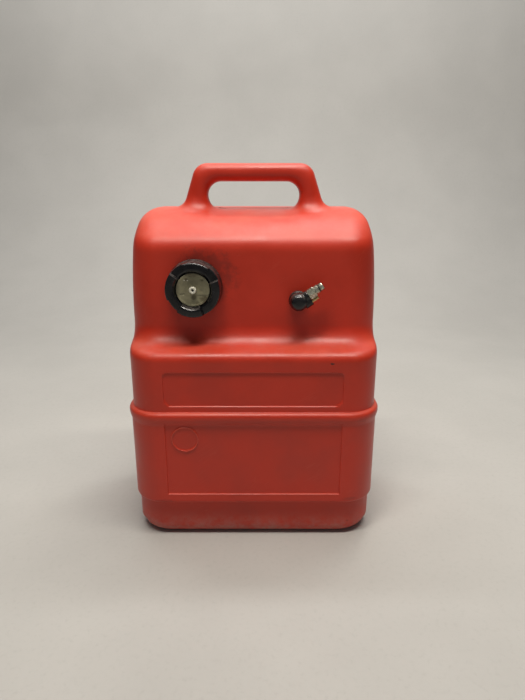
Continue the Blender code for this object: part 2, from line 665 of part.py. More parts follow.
def main():
    red = make_material("red polyethylene", (0.56, 0.03, 0.02), 0.42)
    black = make_material("black nylon", (0.02, 0.02, 0.022), 0.35)
    rubber = make_material("black rubber", (0.03, 0.03, 0.03), 0.7)
    olive = make_material("olive disc", (0.22, 0.20, 0.11), 0.55)
    pale = make_material("pale nylon", (0.75, 0.72, 0.62), 0.4)
    steel = make_material("plated steel", (0.55, 0.55, 0.5), 0.3, 1.0)
    brass = make_material("brass", (0.6, 0.42, 0.16), 0.35, 1.0)
    gauze = make_material("brass gauze", (0.5, 0.38, 0.2), 0.5, 1.0)
    make_tank(red)
    make_cap_shell(black)
    make_cap_fittings(rubber, olive, pale, steel, black)
    make_bushing(black, rubber)
    make_elbow(black, rubber)
    make_nipple(steel, brass, rubber)
    make_pickup(black, steel, gauze)
    for item in PARTS.objects:
        smooth(item)


main()
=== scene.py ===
"""Upright portable fuel tank: moulded skin, fittings, finishes and a studio stage.

Laid out as a Blender add-on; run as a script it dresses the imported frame.
Metres, +Z up, the front faces -Y.
"""
import json
import math

import bmesh
import bpy
import numpy as np
from bpy.props import FloatProperty, FloatVectorProperty, IntProperty, PointerProperty
from mathutils import Matrix, Vector


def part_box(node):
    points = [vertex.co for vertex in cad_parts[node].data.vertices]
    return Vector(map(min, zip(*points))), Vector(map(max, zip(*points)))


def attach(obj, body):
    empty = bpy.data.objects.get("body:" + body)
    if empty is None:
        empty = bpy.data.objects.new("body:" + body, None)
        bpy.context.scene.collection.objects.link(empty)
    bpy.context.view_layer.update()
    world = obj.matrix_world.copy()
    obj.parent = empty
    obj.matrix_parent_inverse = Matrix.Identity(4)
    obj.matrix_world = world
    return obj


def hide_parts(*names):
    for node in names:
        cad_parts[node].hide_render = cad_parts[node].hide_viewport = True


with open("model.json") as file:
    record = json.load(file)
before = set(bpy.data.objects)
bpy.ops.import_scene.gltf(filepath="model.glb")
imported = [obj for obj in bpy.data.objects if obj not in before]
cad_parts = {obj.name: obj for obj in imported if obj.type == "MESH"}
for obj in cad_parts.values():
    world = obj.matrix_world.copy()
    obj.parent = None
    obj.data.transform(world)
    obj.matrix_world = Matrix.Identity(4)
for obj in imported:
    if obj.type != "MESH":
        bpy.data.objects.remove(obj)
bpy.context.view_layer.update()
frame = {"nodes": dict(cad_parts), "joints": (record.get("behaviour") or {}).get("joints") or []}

bl_info = {
    "name": "Portable Fuel Tank",
    "version": (1, 0, 0),
    "blender": (4, 5, 0),
    "location": "View3D > Sidebar > Fuel Tank",
    "description": "Builds the skin, fittings, finishes and stage of an upright fuel tank",
    "category": "Object",
}

TANK_LOW, TANK_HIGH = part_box("tank_shell")
HINGES = {joint["name"]: Vector(joint["pos_m"]) for joint in frame["joints"]
          if "pos_m" in joint}
CAP_PLACE = HINGES["cap_unscrew"]
OUTLET_PLACE = HINGES["outlet_swivel"]

# Moulded body: insets are measured in from the widest part of the ring
RING_HALF = TANK_HIGH.x
FRONT_Y = TANK_LOW.y
BACK_Y = TANK_HIGH.y
ROOF_Z = 0.4635
FOOT_IN = 0.0095
BAND_IN = 0.0025
UPPER_IN = 0.006
RECESS_IN = CAP_PLACE.y - FRONT_Y
BASE_ROUND = 0.018
SEAM_Z = 0.0575
RING_Z = 0.1955
SHOULDER_EDGE_Z = 0.2772      # where the front face and the shoulder slope would meet
SHOULDER_SLOPE = 18.0
ROLL_ANGLE = 48.0
ROLL_LOW = 0.026
ROLL_HIGH = 0.137
ROOF_FRONT = FRONT_Y + RECESS_IN + ROLL_LOW + (ROLL_HIGH - ROLL_LOW) * math.cos(
    math.radians(ROLL_ANGLE))
SIDE_ROUND = 0.021
BACK_ROUND = 0.035
TAPER_Z = 0.3205
TAPER = 0.015
FRONT_CORNER = 0.050
BACK_CORNER = 0.030
CORNER_STEPS = 14
STRAIGHT_HALF = RING_HALF - FRONT_CORNER
FINE_STEP = 0.0002            # between the points of an outline before it is thinned
COARSE_STEP = 0.0036          # between the rows and columns of a plain wall

# Recessed panels: half width, lowest z, highest z, corner size
LABEL_PANEL = (0.122, 0.0717, 0.1807, 0.0)
NAME_PANEL = (0.1222, 0.2053, 0.2537, 0.007)
MARK_PLACE = (-0.0950, 0.1573)
MARK_RADIUS = 0.0180
MARK_REACH = MARK_RADIUS + 0.003      # where the mesh is made finer for it

# Carry handle, in the plane of the mould's parting line
HANDLE_Y = FRONT_Y + 0.134
HANDLE_TOP = TANK_HIGH.z - 0.0005
GRIP_X = 0.0466
GRIP_RADIUS = 0.0190
GRIP_Z = HANDLE_TOP - 0.0240 - GRIP_RADIUS
LEG_TOP_X = 0.0815
LEG_FOOT_X = 0.1012
LEG_ROUND_TOP = 0.0215
LEG_ROUND_FOOT = 0.021
LEG_SPREAD = 0.015            # fillet in front of and behind each leg
ROOF_DIP = 0.0026             # between the legs
BAR_HALF = 0.012

# Cap and neck: heights are measured out from the recessed panel
NECK_RADIUS = 0.026
NECK_BORE = 0.022
NECK_LENGTH = 0.015
THREAD_PITCH = 0.006
THREAD_DEPTH = 0.002
CAP_BORE = 0.0292
CAP_RADIUS = 0.0380
CAP_RIM_RADIUS = 0.0358
CAP_LENGTH = 0.029
CAP_CUP = 0.0226
WEB_LOW = 0.0176
WEB_HIGH = 0.0206
DISC_LOW = 0.0209
DISC_HIGH = 0.0224
STEM_RADIUS = 0.0036
STEM_BORE = 0.0019

# Outlet
NUT_RADIUS = 0.0127
NUT_TOP = 0.0092
COLLAR_LOW = 0.0065
ELBOW_HEIGHT = 0.0168
HUB_RADIUS = 0.012
HUB_LOW = 0.0098
HUB_TOP = 0.0285
HUB_NECK = 0.0073             # inside the swivel ring
COLLAR_RADIUS = 0.0092        # held under the swivel ring
PLUG_RADIUS = 0.0059          # runs down into the bushing
BARREL_RADIUS = 0.0073
BARREL_LENGTH = 0.0158
PASSAGE = 0.0026
PIN_OFFSET = 0.0095
WITHIN = 0.0001               # kept inside the elbow's own box
NIPPLE_TIP = 0.0385
NIPPLE_BORE = 0.0024
COLLAR_FLAT = 0.0066
CHECK_PUSH = next(Vector(j["axis"]) for j in frame["joints"] if j["name"] == "check_push")

OUTWARD = Matrix.Rotation(math.pi / 2, 4, "X")
CAP_FRAME = Matrix.Translation(CAP_PLACE) @ OUTWARD
OUTLET_FRAME = Matrix.Translation(OUTLET_PLACE) @ OUTWARD
SPOUT_TILT = math.atan2(-CHECK_PUSH.z, -CHECK_PUSH.x)
SPOUT_FRAME = (OUTLET_FRAME @ Matrix.Translation((0, 0, ELBOW_HEIGHT))
               @ Matrix.Rotation(math.pi / 2 + SPOUT_TILT, 4, "Z") @ OUTWARD)


# ------------------------------------------------------------- settings
class FuelTankSizes(bpy.types.PropertyGroup):
    panel_depth: FloatProperty(
        name="Panel Depth", description="How deep the two front panels are let in",
        default=0.0015, min=0.0, max=0.003, unit="LENGTH")
    panel_edge: FloatProperty(
        name="Panel Edge", description="Width of the soft step round each panel",
        default=0.0009, min=0.0005, max=0.006, unit="LENGTH")
    mark_height: FloatProperty(
        name="Mark Height", description="How far the plain moulded ring stands up",
        default=0.0015, min=0.0, max=0.002, unit="LENGTH")
    parting_height: FloatProperty(
        name="Parting Line", description="Height of the flash left by the two mould halves",
        default=0.00045, min=0.0, max=0.001, unit="LENGTH")
    sag: FloatProperty(
        name="Sag", description="How far the blown walls pull in between their edges",
        default=0.0011, min=0.0, max=0.004, unit="LENGTH")
    notch_count: IntProperty(
        name="Cap Notches", description="Finger notches cut in the cap's rim",
        default=4, min=0, max=12)
    notch_first: FloatProperty(
        name="First Notch", description="Where the first notch is, anticlockwise from the right",
        default=math.radians(37), subtype="ANGLE")
    notch_width: FloatProperty(
        name="Notch Width", description="Width of a notch across the rim",
        default=0.0160, min=0.002, max=0.03, unit="LENGTH")
    notch_depth: FloatProperty(
        name="Notch Depth", description="How far a notch reaches down from the rim",
        default=0.0083, min=0.0, max=0.012, unit="LENGTH")


class FuelTankFinish(bpy.types.PropertyGroup):
    skin: FloatVectorProperty(
        name="Skin", description="Colour of the moulded tank",
        default=(0.560, 0.030, 0.009), subtype="COLOR", min=0, max=1)
    # Painted top light: the skin's lit colour, laid on faces that look up, partly a real sun fade.
    skin_lit_and_faded: FloatVectorProperty(
        name="Faded Skin", description="Colour where sun and rubbing have bleached the tank",
        default=(0.72, 0.11, 0.055), subtype="COLOR", min=0, max=1)
    disc: FloatVectorProperty(
        name="Cap Disc", description="Colour of the disc in the cap",
        default=(0.30, 0.275, 0.165), subtype="COLOR", min=0, max=1)
    dust: FloatVectorProperty(
        name="Dust", description="Colour of the settled dust",
        default=(0.36, 0.30, 0.26), subtype="COLOR", min=0, max=1)
    wear: FloatProperty(
        name="Wear", description="How much the edges are rubbed",
        default=0.55, min=0, max=1, subtype="FACTOR")
    dustiness: FloatProperty(
        name="Dustiness", description="How much dust has settled",
        default=0.5, min=0, max=1, subtype="FACTOR")


class FuelTankStage(bpy.types.PropertyGroup):
    floor: FloatVectorProperty(
        name="Floor", description="Colour of the floor and backdrop",
        default=(0.46, 0.445, 0.415), subtype="COLOR", min=0, max=1)
    lamp_power: FloatProperty(
        name="Lamp Power", description="Power of the front overhead strip lamp, in watts",
        default=25.0, min=0)
    fill_power: FloatProperty(
        name="Fill Power", description="Power of the soft fill lamp, in watts",
        default=1.1, min=0)
    wash_power: FloatProperty(
        name="Wash Power", description="Power of the lamp on the backdrop, in watts",
        default=42.0, min=0)
    sky: FloatProperty(
        name="Ambient", description="Strength of the even light from all round",
        default=0.10, min=0)
    eye_height: FloatProperty(
        name="Eye Height", description="Height of the camera above the floor",
        default=0.4885, unit="LENGTH")
    eye_distance: FloatProperty(
        name="Eye Distance", description="Camera distance in front of the tank's face",
        default=0.656, unit="LENGTH")
    eye_tilt: FloatProperty(
        name="Eye Tilt", description="How far the camera looks down",
        default=math.radians(17), subtype="ANGLE")
    eye_aside: FloatProperty(
        name="Eye Aside", description="How far the camera stands to the right of the middle",
        default=0.0125, unit="LENGTH")
    focal_length: FloatProperty(
        name="Focal Length", description="Focal length of the camera's lens",
        default=27.05, min=1.0, unit="CAMERA")


# ------------------------------------------------------- outline helpers
def rounded_path(corners, steps=10):
    """Dense points along straight runs between (x, y, radius) corners."""
    points = []
    spots = [np.array(corner[:2], float) for corner in corners]
    for i, corner in enumerate(corners):
        radius = corner[2]
        if radius <= 0 or i in (0, len(corners) - 1):
            points.append(spots[i])
            continue
        points += corner_arc(spots[i - 1], spots[i], spots[i + 1], radius, steps)
    return np.array(points)


def corner_arc(before, corner, after, radius, steps):
    """Points round a corner, kept to what its two sides have room for."""
    back = (before - corner) / np.linalg.norm(before - corner)
    ahead = (after - corner) / np.linalg.norm(after - corner)
    half = math.acos(np.clip(np.dot(back, ahead), -1, 1)) / 2
    if half > math.pi / 2 - 1e-3:
        return [corner]
    reach = radius / math.tan(half)
    middle = corner + (back + ahead) / np.linalg.norm(back + ahead) * radius / math.sin(half)
    start = corner + back * reach - middle
    end = corner + ahead * reach - middle
    turn = math.atan2(start[0] * end[1] - start[1] * end[0], np.dot(start, end))
    spots = []
    for angle in np.linspace(0, turn, steps + 1):
        c, s = math.cos(angle), math.sin(angle)
        spots.append(middle + np.array((c * start[0] - s * start[1],
                                        s * start[0] + c * start[1])))
    return spots


def along(points, spacing):
    """Points evenly spaced along a polyline, keeping its two ends."""
    points = np.asarray(points, float)
    runs = np.linalg.norm(np.diff(points, axis=0), axis=1)
    reach = np.concatenate(([0], np.cumsum(runs)))
    count = max(int(round(reach[-1] / spacing)), 1)
    spots = np.linspace(0, reach[-1], count + 1)
    return np.column_stack([np.interp(spots, reach, axis) for axis in points.T])


def respaced(points, spacing_of):
    """Resample a dense polyline so that neighbours lie spacing_of(point, bend) apart."""
    fine = along(points, FINE_STEP)
    step = np.linalg.norm(np.diff(fine, axis=0), axis=1)
    heading = np.unwrap(np.arctan2(*np.diff(fine, axis=0).T[::-1]))
    bend = np.abs(np.gradient(heading) / np.maximum(step, 1e-9))
    middle = (fine[1:] + fine[:-1]) / 2
    wanted = np.array([spacing_of(p, b) for p, b in zip(middle, bend)])
    count = np.concatenate(([0], np.cumsum(step / wanted)))
    spots = np.linspace(0, count[-1], int(round(count[-1])) + 1)
    return np.column_stack([np.interp(spots, count, axis) for axis in fine.T])


def softened(points, width):
    """Round every corner of an evenly dense outline by averaging along it."""
    reach = max(int(width / FINE_STEP), 1)
    kernel = np.hanning(2 * reach + 3)[1:-1]
    kernel /= kernel.sum()
    padded = np.pad(points, ((reach, reach), (0, 0)), mode="reflect", reflect_type="odd")
    return np.column_stack([np.convolve(axis, kernel, mode="valid") for axis in padded.T])


def soft_step(value):
    value = np.clip(value, 0.0, 1.0)
    return value * value * (3 - 2 * value)


def round_in(height, radius):
    """How far a quarter round has turned in at this height above its start."""
    height = min(max(height, 0.0), radius)
    return radius - math.sqrt(radius ** 2 - height ** 2)


# ---------------------------------------------------------- mesh helpers
def new_mesh(name, points, faces):
    mesh = bpy.data.meshes.new(name)
    mesh.from_pydata([tuple(p) for p in points], [], faces)
    mesh.validate()
    return mesh


def new_object(name, mesh):
    item = bpy.data.objects.new(name, mesh)
    bpy.context.scene.collection.objects.link(item)
    return item


def band_faces(rows, count, closed=True):
    """Quads that join each row of points to the next one."""
    faces = []
    last = count if closed else count - 1
    for row in range(rows - 1):
        for i in range(last):
            j = (i + 1) % count
            low, high = row * count, (row + 1) * count
            faces.append((low + i, low + j, high + j, high + i))
    return faces


def loft(name, sections):
    """Skin a stack of loops that run anticlockwise seen from above, with both ends closed."""
    count = len(sections[0])
    rows = len(sections)
    faces = band_faces(rows, count)
    faces.append(tuple(reversed(range(count))))
    faces.append(tuple(range((rows - 1) * count, rows * count)))
    return new_object(name, new_mesh(name, np.concatenate(sections), faces))


def lathe(name, outline, angles, matrix, shape=None):
    """Turn a closed (radius, height) outline; shape may bend each point at each angle."""
    angles = np.asarray(angles)
    points = []
    for radius, height in outline:
        radii = np.full(len(angles), radius)
        heights = np.full(len(angles), height)
        if shape:
            radii, heights = shape(radii, heights, angles)
        points.append(np.column_stack((radii * np.cos(angles), radii * np.sin(angles), heights)))
    faces = band_faces(len(outline), len(angles))
    last = (len(outline) - 1) * len(angles)
    for i in range(len(angles)):
        j = (i + 1) % len(angles)
        faces.append((last + i, last + j, j, i))
    mesh = new_mesh(name, np.concatenate(points), faces)
    mesh.transform(matrix)
    clean(mesh)
    return new_object(name, mesh)


def clean(mesh, reach=0.000004):
    shape = bmesh.new()
    shape.from_mesh(mesh)
    bmesh.ops.remove_doubles(shape, verts=shape.verts, dist=reach)
    bmesh.ops.dissolve_degenerate(shape, edges=shape.edges, dist=reach)
    bmesh.ops.recalc_face_normals(shape, faces=shape.faces)
    shape.to_mesh(mesh)
    shape.free()


def turned_outline(corners, spacing=0.0004):
    """Closed (radius, height) outline through rounded corners, evenly spaced."""
    path = rounded_path([*corners, corners[0]], 5)
    return along(path, spacing)[:-1]


def even_angles(count):
    return np.arange(count) * 2 * math.pi / count


def boolean(item, other, operation):
    cut = item.modifiers.new(other.name, "BOOLEAN")
    cut.operation = operation
    cut.object = other
    cut.solver = "EXACT"
    other.hide_render = True


def applied(item, tools=()):
    """Bake an object's modifiers into its mesh, then drop the tools that they used."""
    bpy.context.view_layer.update()
    evaluated = item.evaluated_get(bpy.context.evaluated_depsgraph_get())
    mesh = bpy.data.meshes.new_from_object(evaluated)
    item.modifiers.clear()
    item.data = mesh
    clean(mesh)
    for tool in tools:
        bpy.data.objects.remove(tool, do_unlink=True)


def rod(name, radius, low, high, matrix, steps=48, rounding=0.0):
    """A turned pin along the local Z of matrix, with rounded rims."""
    corners = [(0.0, low, 0), (radius, low, rounding), (radius, high, rounding), (0.0, high, 0)]
    return lathe(name, turned_outline(corners, 0.0008), even_angles(steps), matrix)


def smooth(item, angle=40.0):
    item.data.shade_smooth()
    item.data.set_sharp_from_angle(angle=math.radians(angle))


def relax(mesh, weights, rounds):
    """Draw each vertex towards its neighbours' average, as strongly as its weight."""
    count = len(mesh.vertices)
    places = np.empty(count * 3)
    mesh.vertices.foreach_get("co", places)
    places = places.reshape(-1, 3)
    edges = np.empty(len(mesh.edges) * 2, int)
    mesh.edges.foreach_get("vertices", edges)
    edges = edges.reshape(-1, 2)
    near = weights > 0
    edges = edges[near[edges[:, 0]] | near[edges[:, 1]]]
    share = np.bincount(edges.ravel(), minlength=count)[:, None]
    for _ in range(rounds):
        total = np.zeros_like(places)
        for axis in range(3):
            total[:, axis] = (np.bincount(edges[:, 0], places[edges[:, 1], axis], count)
                              + np.bincount(edges[:, 1], places[edges[:, 0], axis], count))
        mean = total / np.maximum(share, 1)
        places += np.where(share > 0, (mean - places) * weights[:, None], 0)
    mesh.vertices.foreach_set("co", places.ravel())
    mesh.update()


def thread_ridge(name, root, crest, low, high, matrix):
    """A right-hand helical ridge that fades out at both ends."""
    turns = (high - low) / THREAD_PITCH
    count = int(turns * 60)
    outline = ((0.0, -0.0016), (1.0, -0.0006), (1.0, 0.0006), (0.0, 0.0016))
    sections = []
    for i in range(count + 1):
        angle = 2 * math.pi * turns * i / count
        height = low + (high - low) * i / count
        rise = 0.12 + 0.88 * min(1.0, min(i, count - i) / 8.0)
        ring = []
        for out, drop in outline:
            radius = root + (crest - root) * rise * out
            ring.append((radius * math.cos(angle), radius * math.sin(angle), height + drop))
        sections.append(np.array(ring))
    item = loft(name, sections)
    item.data.transform(matrix)
    clean(item.data)
    return item


# ------------------------------------------------------------ tank skin
def front_outline():
    """Front outline as (inset, height) points from the base up to the roof."""
    tilt = math.tan(math.radians(SHOULDER_SLOPE))
    hollow_z = SHOULDER_EDGE_Z + (RECESS_IN - UPPER_IN) * tilt
    bend = math.radians(ROLL_ANGLE)
    high_z = ROOF_Z - ROLL_HIGH
    low_z = high_z + (ROLL_HIGH - ROLL_LOW) * math.sin(bend)
    high_in = RECESS_IN + ROLL_LOW + (ROLL_HIGH - ROLL_LOW) * math.cos(bend)
    corners = [(FOOT_IN + BASE_ROUND, 0.0, 0), (FOOT_IN, 0.0, BASE_ROUND),
               (FOOT_IN, SEAM_Z, 0.0006), (BAND_IN, SEAM_Z, 0.003),
               (BAND_IN, RING_Z - 0.018, 0.012), (0.0, RING_Z - 0.009, 0.005),
               (0.0, RING_Z, 0.0058), (UPPER_IN, RING_Z + 0.0010, 0.0004),
               (UPPER_IN, SHOULDER_EDGE_Z, 0.012), (RECESS_IN, hollow_z, 0.026),
               (RECESS_IN, low_z, 0)]
    points = list(rounded_path(corners))
    for angle in np.linspace(math.pi, math.pi - bend, 12)[1:]:
        points.append((RECESS_IN + ROLL_LOW + ROLL_LOW * math.cos(angle),
                       low_z + ROLL_LOW * math.sin(angle)))
    for angle in np.linspace(math.pi - bend, math.pi / 2, 20)[1:]:
        points.append((high_in + ROLL_HIGH * math.cos(angle),
                       high_z + ROLL_HIGH * math.sin(angle)))
    return softened(along(points, FINE_STEP), 0.0012)


def row_spacing(point, bend):
    """Closer rows on bends and across the panels' edges and the mark."""
    edges = (LABEL_PANEL[1], LABEL_PANEL[2], NAME_PANEL[1], NAME_PANEL[2])
    near = min(abs(point[1] - edge) for edge in edges)
    mark_step, edge_step = 0.0009, 0.0007
    on_face = point[0] < 0.02
    spacing = COARSE_STEP
    if on_face and abs(point[1] - MARK_PLACE[1]) < MARK_REACH:
        spacing = mark_step
    if on_face and near < 0.0035:
        spacing = edge_step
    return min(spacing, max(0.22 / max(bend, 1e-6), edge_step))


def stations(low, high, coarse, spots):
    """Places from low to high, close together inside each (centre, reach, step) spot."""
    places = list(np.linspace(low, high, int(round((high - low) / coarse)) + 1))
    for centre, reach, step in spots:
        places = [p for p in places if abs(p - centre) > reach + step / 2]
        places += list(np.linspace(centre - reach, centre + reach,
                                   int(round(2 * reach / step)) + 1))
    return np.array(sorted(places))


def front_columns():
    edge = LABEL_PANEL[0]
    return stations(-STRAIGHT_HALF, STRAIGHT_HALF, COARSE_STEP,
                    [(-edge, 0.0033, 0.0006), (edge, 0.0033, 0.0006),
                     (MARK_PLACE[0], MARK_REACH, 0.0009)])


FRONT_COLUMNS = front_columns()
PARTING_COLUMNS = np.array((-0.0022, -0.0009, 0.0, 0.0009, 0.0022))
SIDE_COLUMNS = 12
BACK_COLUMNS = 40


def side_places(front, back):
    """Places along a side: even runs on both sides of the parting line."""
    middle = min(max(HANDLE_Y, front + 0.004), back - 0.004)
    low = np.linspace(front, middle + PARTING_COLUMNS[0], SIDE_COLUMNS)[:-1]
    high = np.linspace(middle + PARTING_COLUMNS[-1], back, SIDE_COLUMNS)[1:]
    return np.concatenate((low, middle + PARTING_COLUMNS, high))


def body_section(front, z, wall=0.0):
    """Rounded rectangle at one height, anticlockwise from the front left."""
    side = min(front, UPPER_IN + wall) if z < SHOULDER_EDGE_Z else UPPER_IN + wall
    roof = ROOF_Z - wall
    side += round_in(z - (roof - SIDE_ROUND + wall), SIDE_ROUND - wall)
    side += TAPER * (max(z - TAPER_Z, 0.0) / (ROOF_Z - TAPER_Z)) ** 2
    back = wall + round_in(z - (roof - BACK_ROUND + wall), BACK_ROUND - wall)
    shrink = side
    if z < BASE_ROUND:
        side = front
        shrink = FOOT_IN + wall
        back = front - FOOT_IN
    half = RING_HALF - side
    y_front = FRONT_Y + front
    y_back = BACK_Y - back
    front_round = max(FRONT_CORNER - shrink, 0.006)
    back_round = max(BACK_CORNER - shrink, 0.006)
    bends = [np.radians(np.linspace(start, start + 90, CORNER_STEPS + 1)[1:-1])
             for start in (-90, 0, 90, 180)]
    straight = (half - front_round) / STRAIGHT_HALF
    sides = side_places(y_front + front_round, y_back - back_round)
    backs = np.linspace(half - back_round, back_round - half, BACK_COLUMNS)
    loop = [(x * straight, y_front) for x in FRONT_COLUMNS]
    loop += [(half - front_round + front_round * math.cos(a),
              y_front + front_round + front_round * math.sin(a)) for a in bends[0]]
    loop += [(half, y) for y in sides]
    loop += [(half - back_round + back_round * math.cos(a),
              y_back - back_round + back_round * math.sin(a)) for a in bends[1]]
    loop += [(x, y_back) for x in backs]
    loop += [(back_round - half + back_round * math.cos(a),
              y_back - back_round + back_round * math.sin(a)) for a in bends[2]]
    loop += [(-half, y) for y in sides[::-1]]
    loop += [(front_round - half + front_round * math.cos(a),
              y_front + front_round + front_round * math.sin(a)) for a in bends[3]]
    return np.column_stack((np.array(loop), np.full(len(loop), z)))


def outside_panel(x, z, panel):
    """Distance outside a panel's outline: round top corners, bevelled bottom ones."""
    half, low, high, corner = panel
    x = np.abs(x)
    away = np.maximum(np.maximum(x - half, low - z), z - high)
    if corner:
        over = np.minimum(x - (half - corner), z - (high - corner))
        arc = np.hypot(x - (half - corner), z - (high - corner)) - corner
        away = np.where(over > 0, arc, away)
        away = np.maximum(away, (x - half + low - z + corner) / math.sqrt(2))
    return away


def mould_front(section, sizes):
    """Press the panels and raise the plain ring on the front columns of one section."""
    face = section[:len(FRONT_COLUMNS)]
    x, z = face[:, 0], face[:, 2]
    depth = np.zeros(len(face))
    for panel in (LABEL_PANEL, NAME_PANEL):
        inside = -outside_panel(x, z, panel) / sizes.panel_edge + 0.5
        depth += sizes.panel_depth * soft_step(inside)
    ring = np.hypot(x - MARK_PLACE[0], z - MARK_PLACE[1]) - MARK_RADIUS
    depth -= sizes.mark_height * np.exp(-(ring / 0.0008) ** 2)
    face[:, 1] += depth


def sink_walls(section, sizes):
    """Blown walls pull in a little between their edges, and are never quite flat."""
    x, y, z = section.T
    ripple = (np.sin(31 * x + 17 * z + 0.6) * np.sin(23 * z - 11 * y + 1.9)
              + np.sin(13 * x - 37 * z + 2.2) * np.sin(19 * y + 7 * x)) / 4
    crown = np.clip(1 - (x / RING_HALF) ** 2, 0, 1)
    height = z[0]
    bay = 0.0
    for low, high in ((SEAM_Z, RING_Z), (RING_Z, SHOULDER_EDGE_Z), (0.30, ROOF_Z - 0.03)):
        if low < height < high:
            bay = math.sin(math.pi * (height - low) / (high - low)) ** 0.7
    inward = sizes.sag * bay * (crown * 0.6 + 0.4 * (ripple + 0.5))
    middle = (y.min() + y.max()) / 2
    front = len(FRONT_COLUMNS)
    section[:front, 1] += inward[:front]
    sides = (np.abs(x) > RING_HALF - 0.04) & (np.arange(len(x)) >= front)
    section[sides, 0] -= np.sign(x[sides]) * sizes.sag * 0.8 * bay * (
        0.5 + ripple[sides]) * np.clip(1 - ((y[sides] - middle) / 0.1) ** 2, 0, 1)
    back = y > y.max() - 0.001
    section[back, 1] -= inward[back] * 1.4


def raise_parting(section, height):
    """A thin line of flash where the mould halves met."""
    for row in np.flatnonzero(np.abs(section[:, 1] - HANDLE_Y) < 0.0002):
        if abs(section[row, 0]) > RING_HALF - 0.08:
            out = min(abs(section[row, 0]) + height, RING_HALF)
            section[row, 0] = math.copysign(out, section[row, 0])


def dip_roof(section):
    """The roof lies a little lower between the handle's legs."""
    x, y, z = section.T
    between = soft_step((GRIP_X + 0.018 - np.abs(x)) / 0.016)
    between *= soft_step((HANDLE_Y + 0.045 - y) / 0.03)
    section[:, 2] -= ROOF_DIP * between * soft_step((z - ROOF_Z + 0.03) / 0.03)


def roof_rings(edge):
    """Loops that close the roof, each one a smaller copy of its edge."""
    centre = np.array((0, (edge[:, 1].min() + edge[:, 1].max()) / 2, ROOF_Z))
    rings = []
    for size in (0.985, 0.96, 0.93, 0.90, 0.86, 0.82, 0.77, 0.72, 0.67, 0.61, 0.55, 0.49, 0.43,
                 0.37, 0.31, 0.25, 0.19, 0.13, 0.07, 0.03):
        rings.append(centre + (edge - centre) * size)
    return rings


def base_rings(edge):
    """Loops that close the base, drawn up a little inside its rim."""
    centre = np.array((0, (edge[:, 1].min() + edge[:, 1].max()) / 2, 0.0))
    rings = []
    for size, rise in ((0.04, 0.003), (0.3, 0.003), (0.6, 0.003), (0.8, 0.0028), (0.86, 0.0014),
                       (0.9, 0.0004), (0.94, 0.0)):
        ring = centre + (edge - centre) * size
        ring[:, 2] += rise
        rings.append(ring)
    return rings


def handle_outlines():
    """Matching points up the inner and outer edges of half the handle, foot to middle."""
    outer = rounded_path([(LEG_FOOT_X + 0.018, ROOF_Z + 0.0003, 0),
                          (LEG_FOOT_X, ROOF_Z, LEG_ROUND_FOOT),
                          (LEG_TOP_X, HANDLE_TOP, LEG_ROUND_TOP), (GRIP_X, HANDLE_TOP, 0)], 20)
    inner = [(GRIP_X + GRIP_RADIUS * math.cos(a), GRIP_Z + GRIP_RADIUS * math.sin(a))
             for a in np.radians(np.linspace(-88, 90, 40))]
    count = 56
    outer = along(outer, FINE_STEP)
    inner = along(inner, FINE_STEP)
    pick = np.linspace(0, 1, count) ** 0.9
    outer = outer[(pick * (len(outer) - 1)).astype(int)]
    inner = inner[(pick * (len(inner) - 1)).astype(int)]
    bar = np.linspace(GRIP_X, 0, 14)[1:]
    outer = np.vstack((outer, np.column_stack((bar, np.full(13, HANDLE_TOP)))))
    low = GRIP_Z + GRIP_RADIUS
    inner = np.vstack((inner, np.column_stack((bar, np.full(13, low)))))
    return inner, outer


def handle_section(inner, outer, sink, steps=56):
    """Oval loop through one pair of inner and outer edge points."""
    middle = (inner + outer) / 2
    across = (outer - inner) / 2
    half = np.linalg.norm(across)
    rise = min(max(middle[1] - sink - ROOF_Z, 0.0), LEG_SPREAD)
    spread = LEG_SPREAD - math.sqrt(LEG_SPREAD ** 2 - (LEG_SPREAD - rise) ** 2)
    deep = 0.0144 + 0.12 * min(max(half - BAR_HALF, 0.0), 0.01) + spread
    low = soft_step(1 - rise / LEG_SPREAD)
    loop = []
    for angle in np.arange(steps) * 2 * math.pi / steps:
        c, s = math.cos(angle), math.sin(angle)
        full = (abs(c) ** 2.25 + abs(s) ** 2.25) ** (-1 / 2.25)
        flash = 1 + 0.0004 / half * math.exp(-(s / 0.05) ** 2)
        spot = middle + across * c * full * flash
        y = HANDLE_Y + deep * s * full
        drop = ROLL_HIGH - math.sqrt(ROLL_HIGH ** 2 - max(ROOF_FRONT - y, 0.0) ** 2)
        loop.append((spot[0], y, spot[1] - sink - drop * low))
    return np.array(loop)


def make_handle():
    inner, outer = handle_outlines()
    half = [handle_section(a, b, 0.0) for a, b in zip(inner, outer)]
    buried = [handle_section(inner[0], outer[0], sink) for sink in (0.0025, 0.0012)]
    right = buried + half
    left = [ring * np.array((-1, 1, 1)) for ring in reversed(right[:-1])]
    item = loft("handle_tool", right + left)
    clean(item.data)
    return item


def make_cavity(outline):
    """The hollow inside, one wall thickness in from the skin."""
    wall = 0.004
    path = along([(max(p[0], BAND_IN), p[1]) for p in outline], 0.006)
    ahead = np.gradient(path, axis=0)
    ahead /= np.linalg.norm(ahead, axis=1)[:, None]
    path = np.column_stack((path[:, 0] + ahead[:, 1] * wall, path[:, 1] - ahead[:, 0] * wall))
    path[:, 1] = np.clip(path[:, 1], wall, ROOF_Z - wall)
    keep = np.concatenate(([True], np.diff(path[:, 1]) > 0.0002))
    sections = [body_section(f, z, wall)[::3] for f, z in path[keep]]
    return loft("cavity_tool", sections)


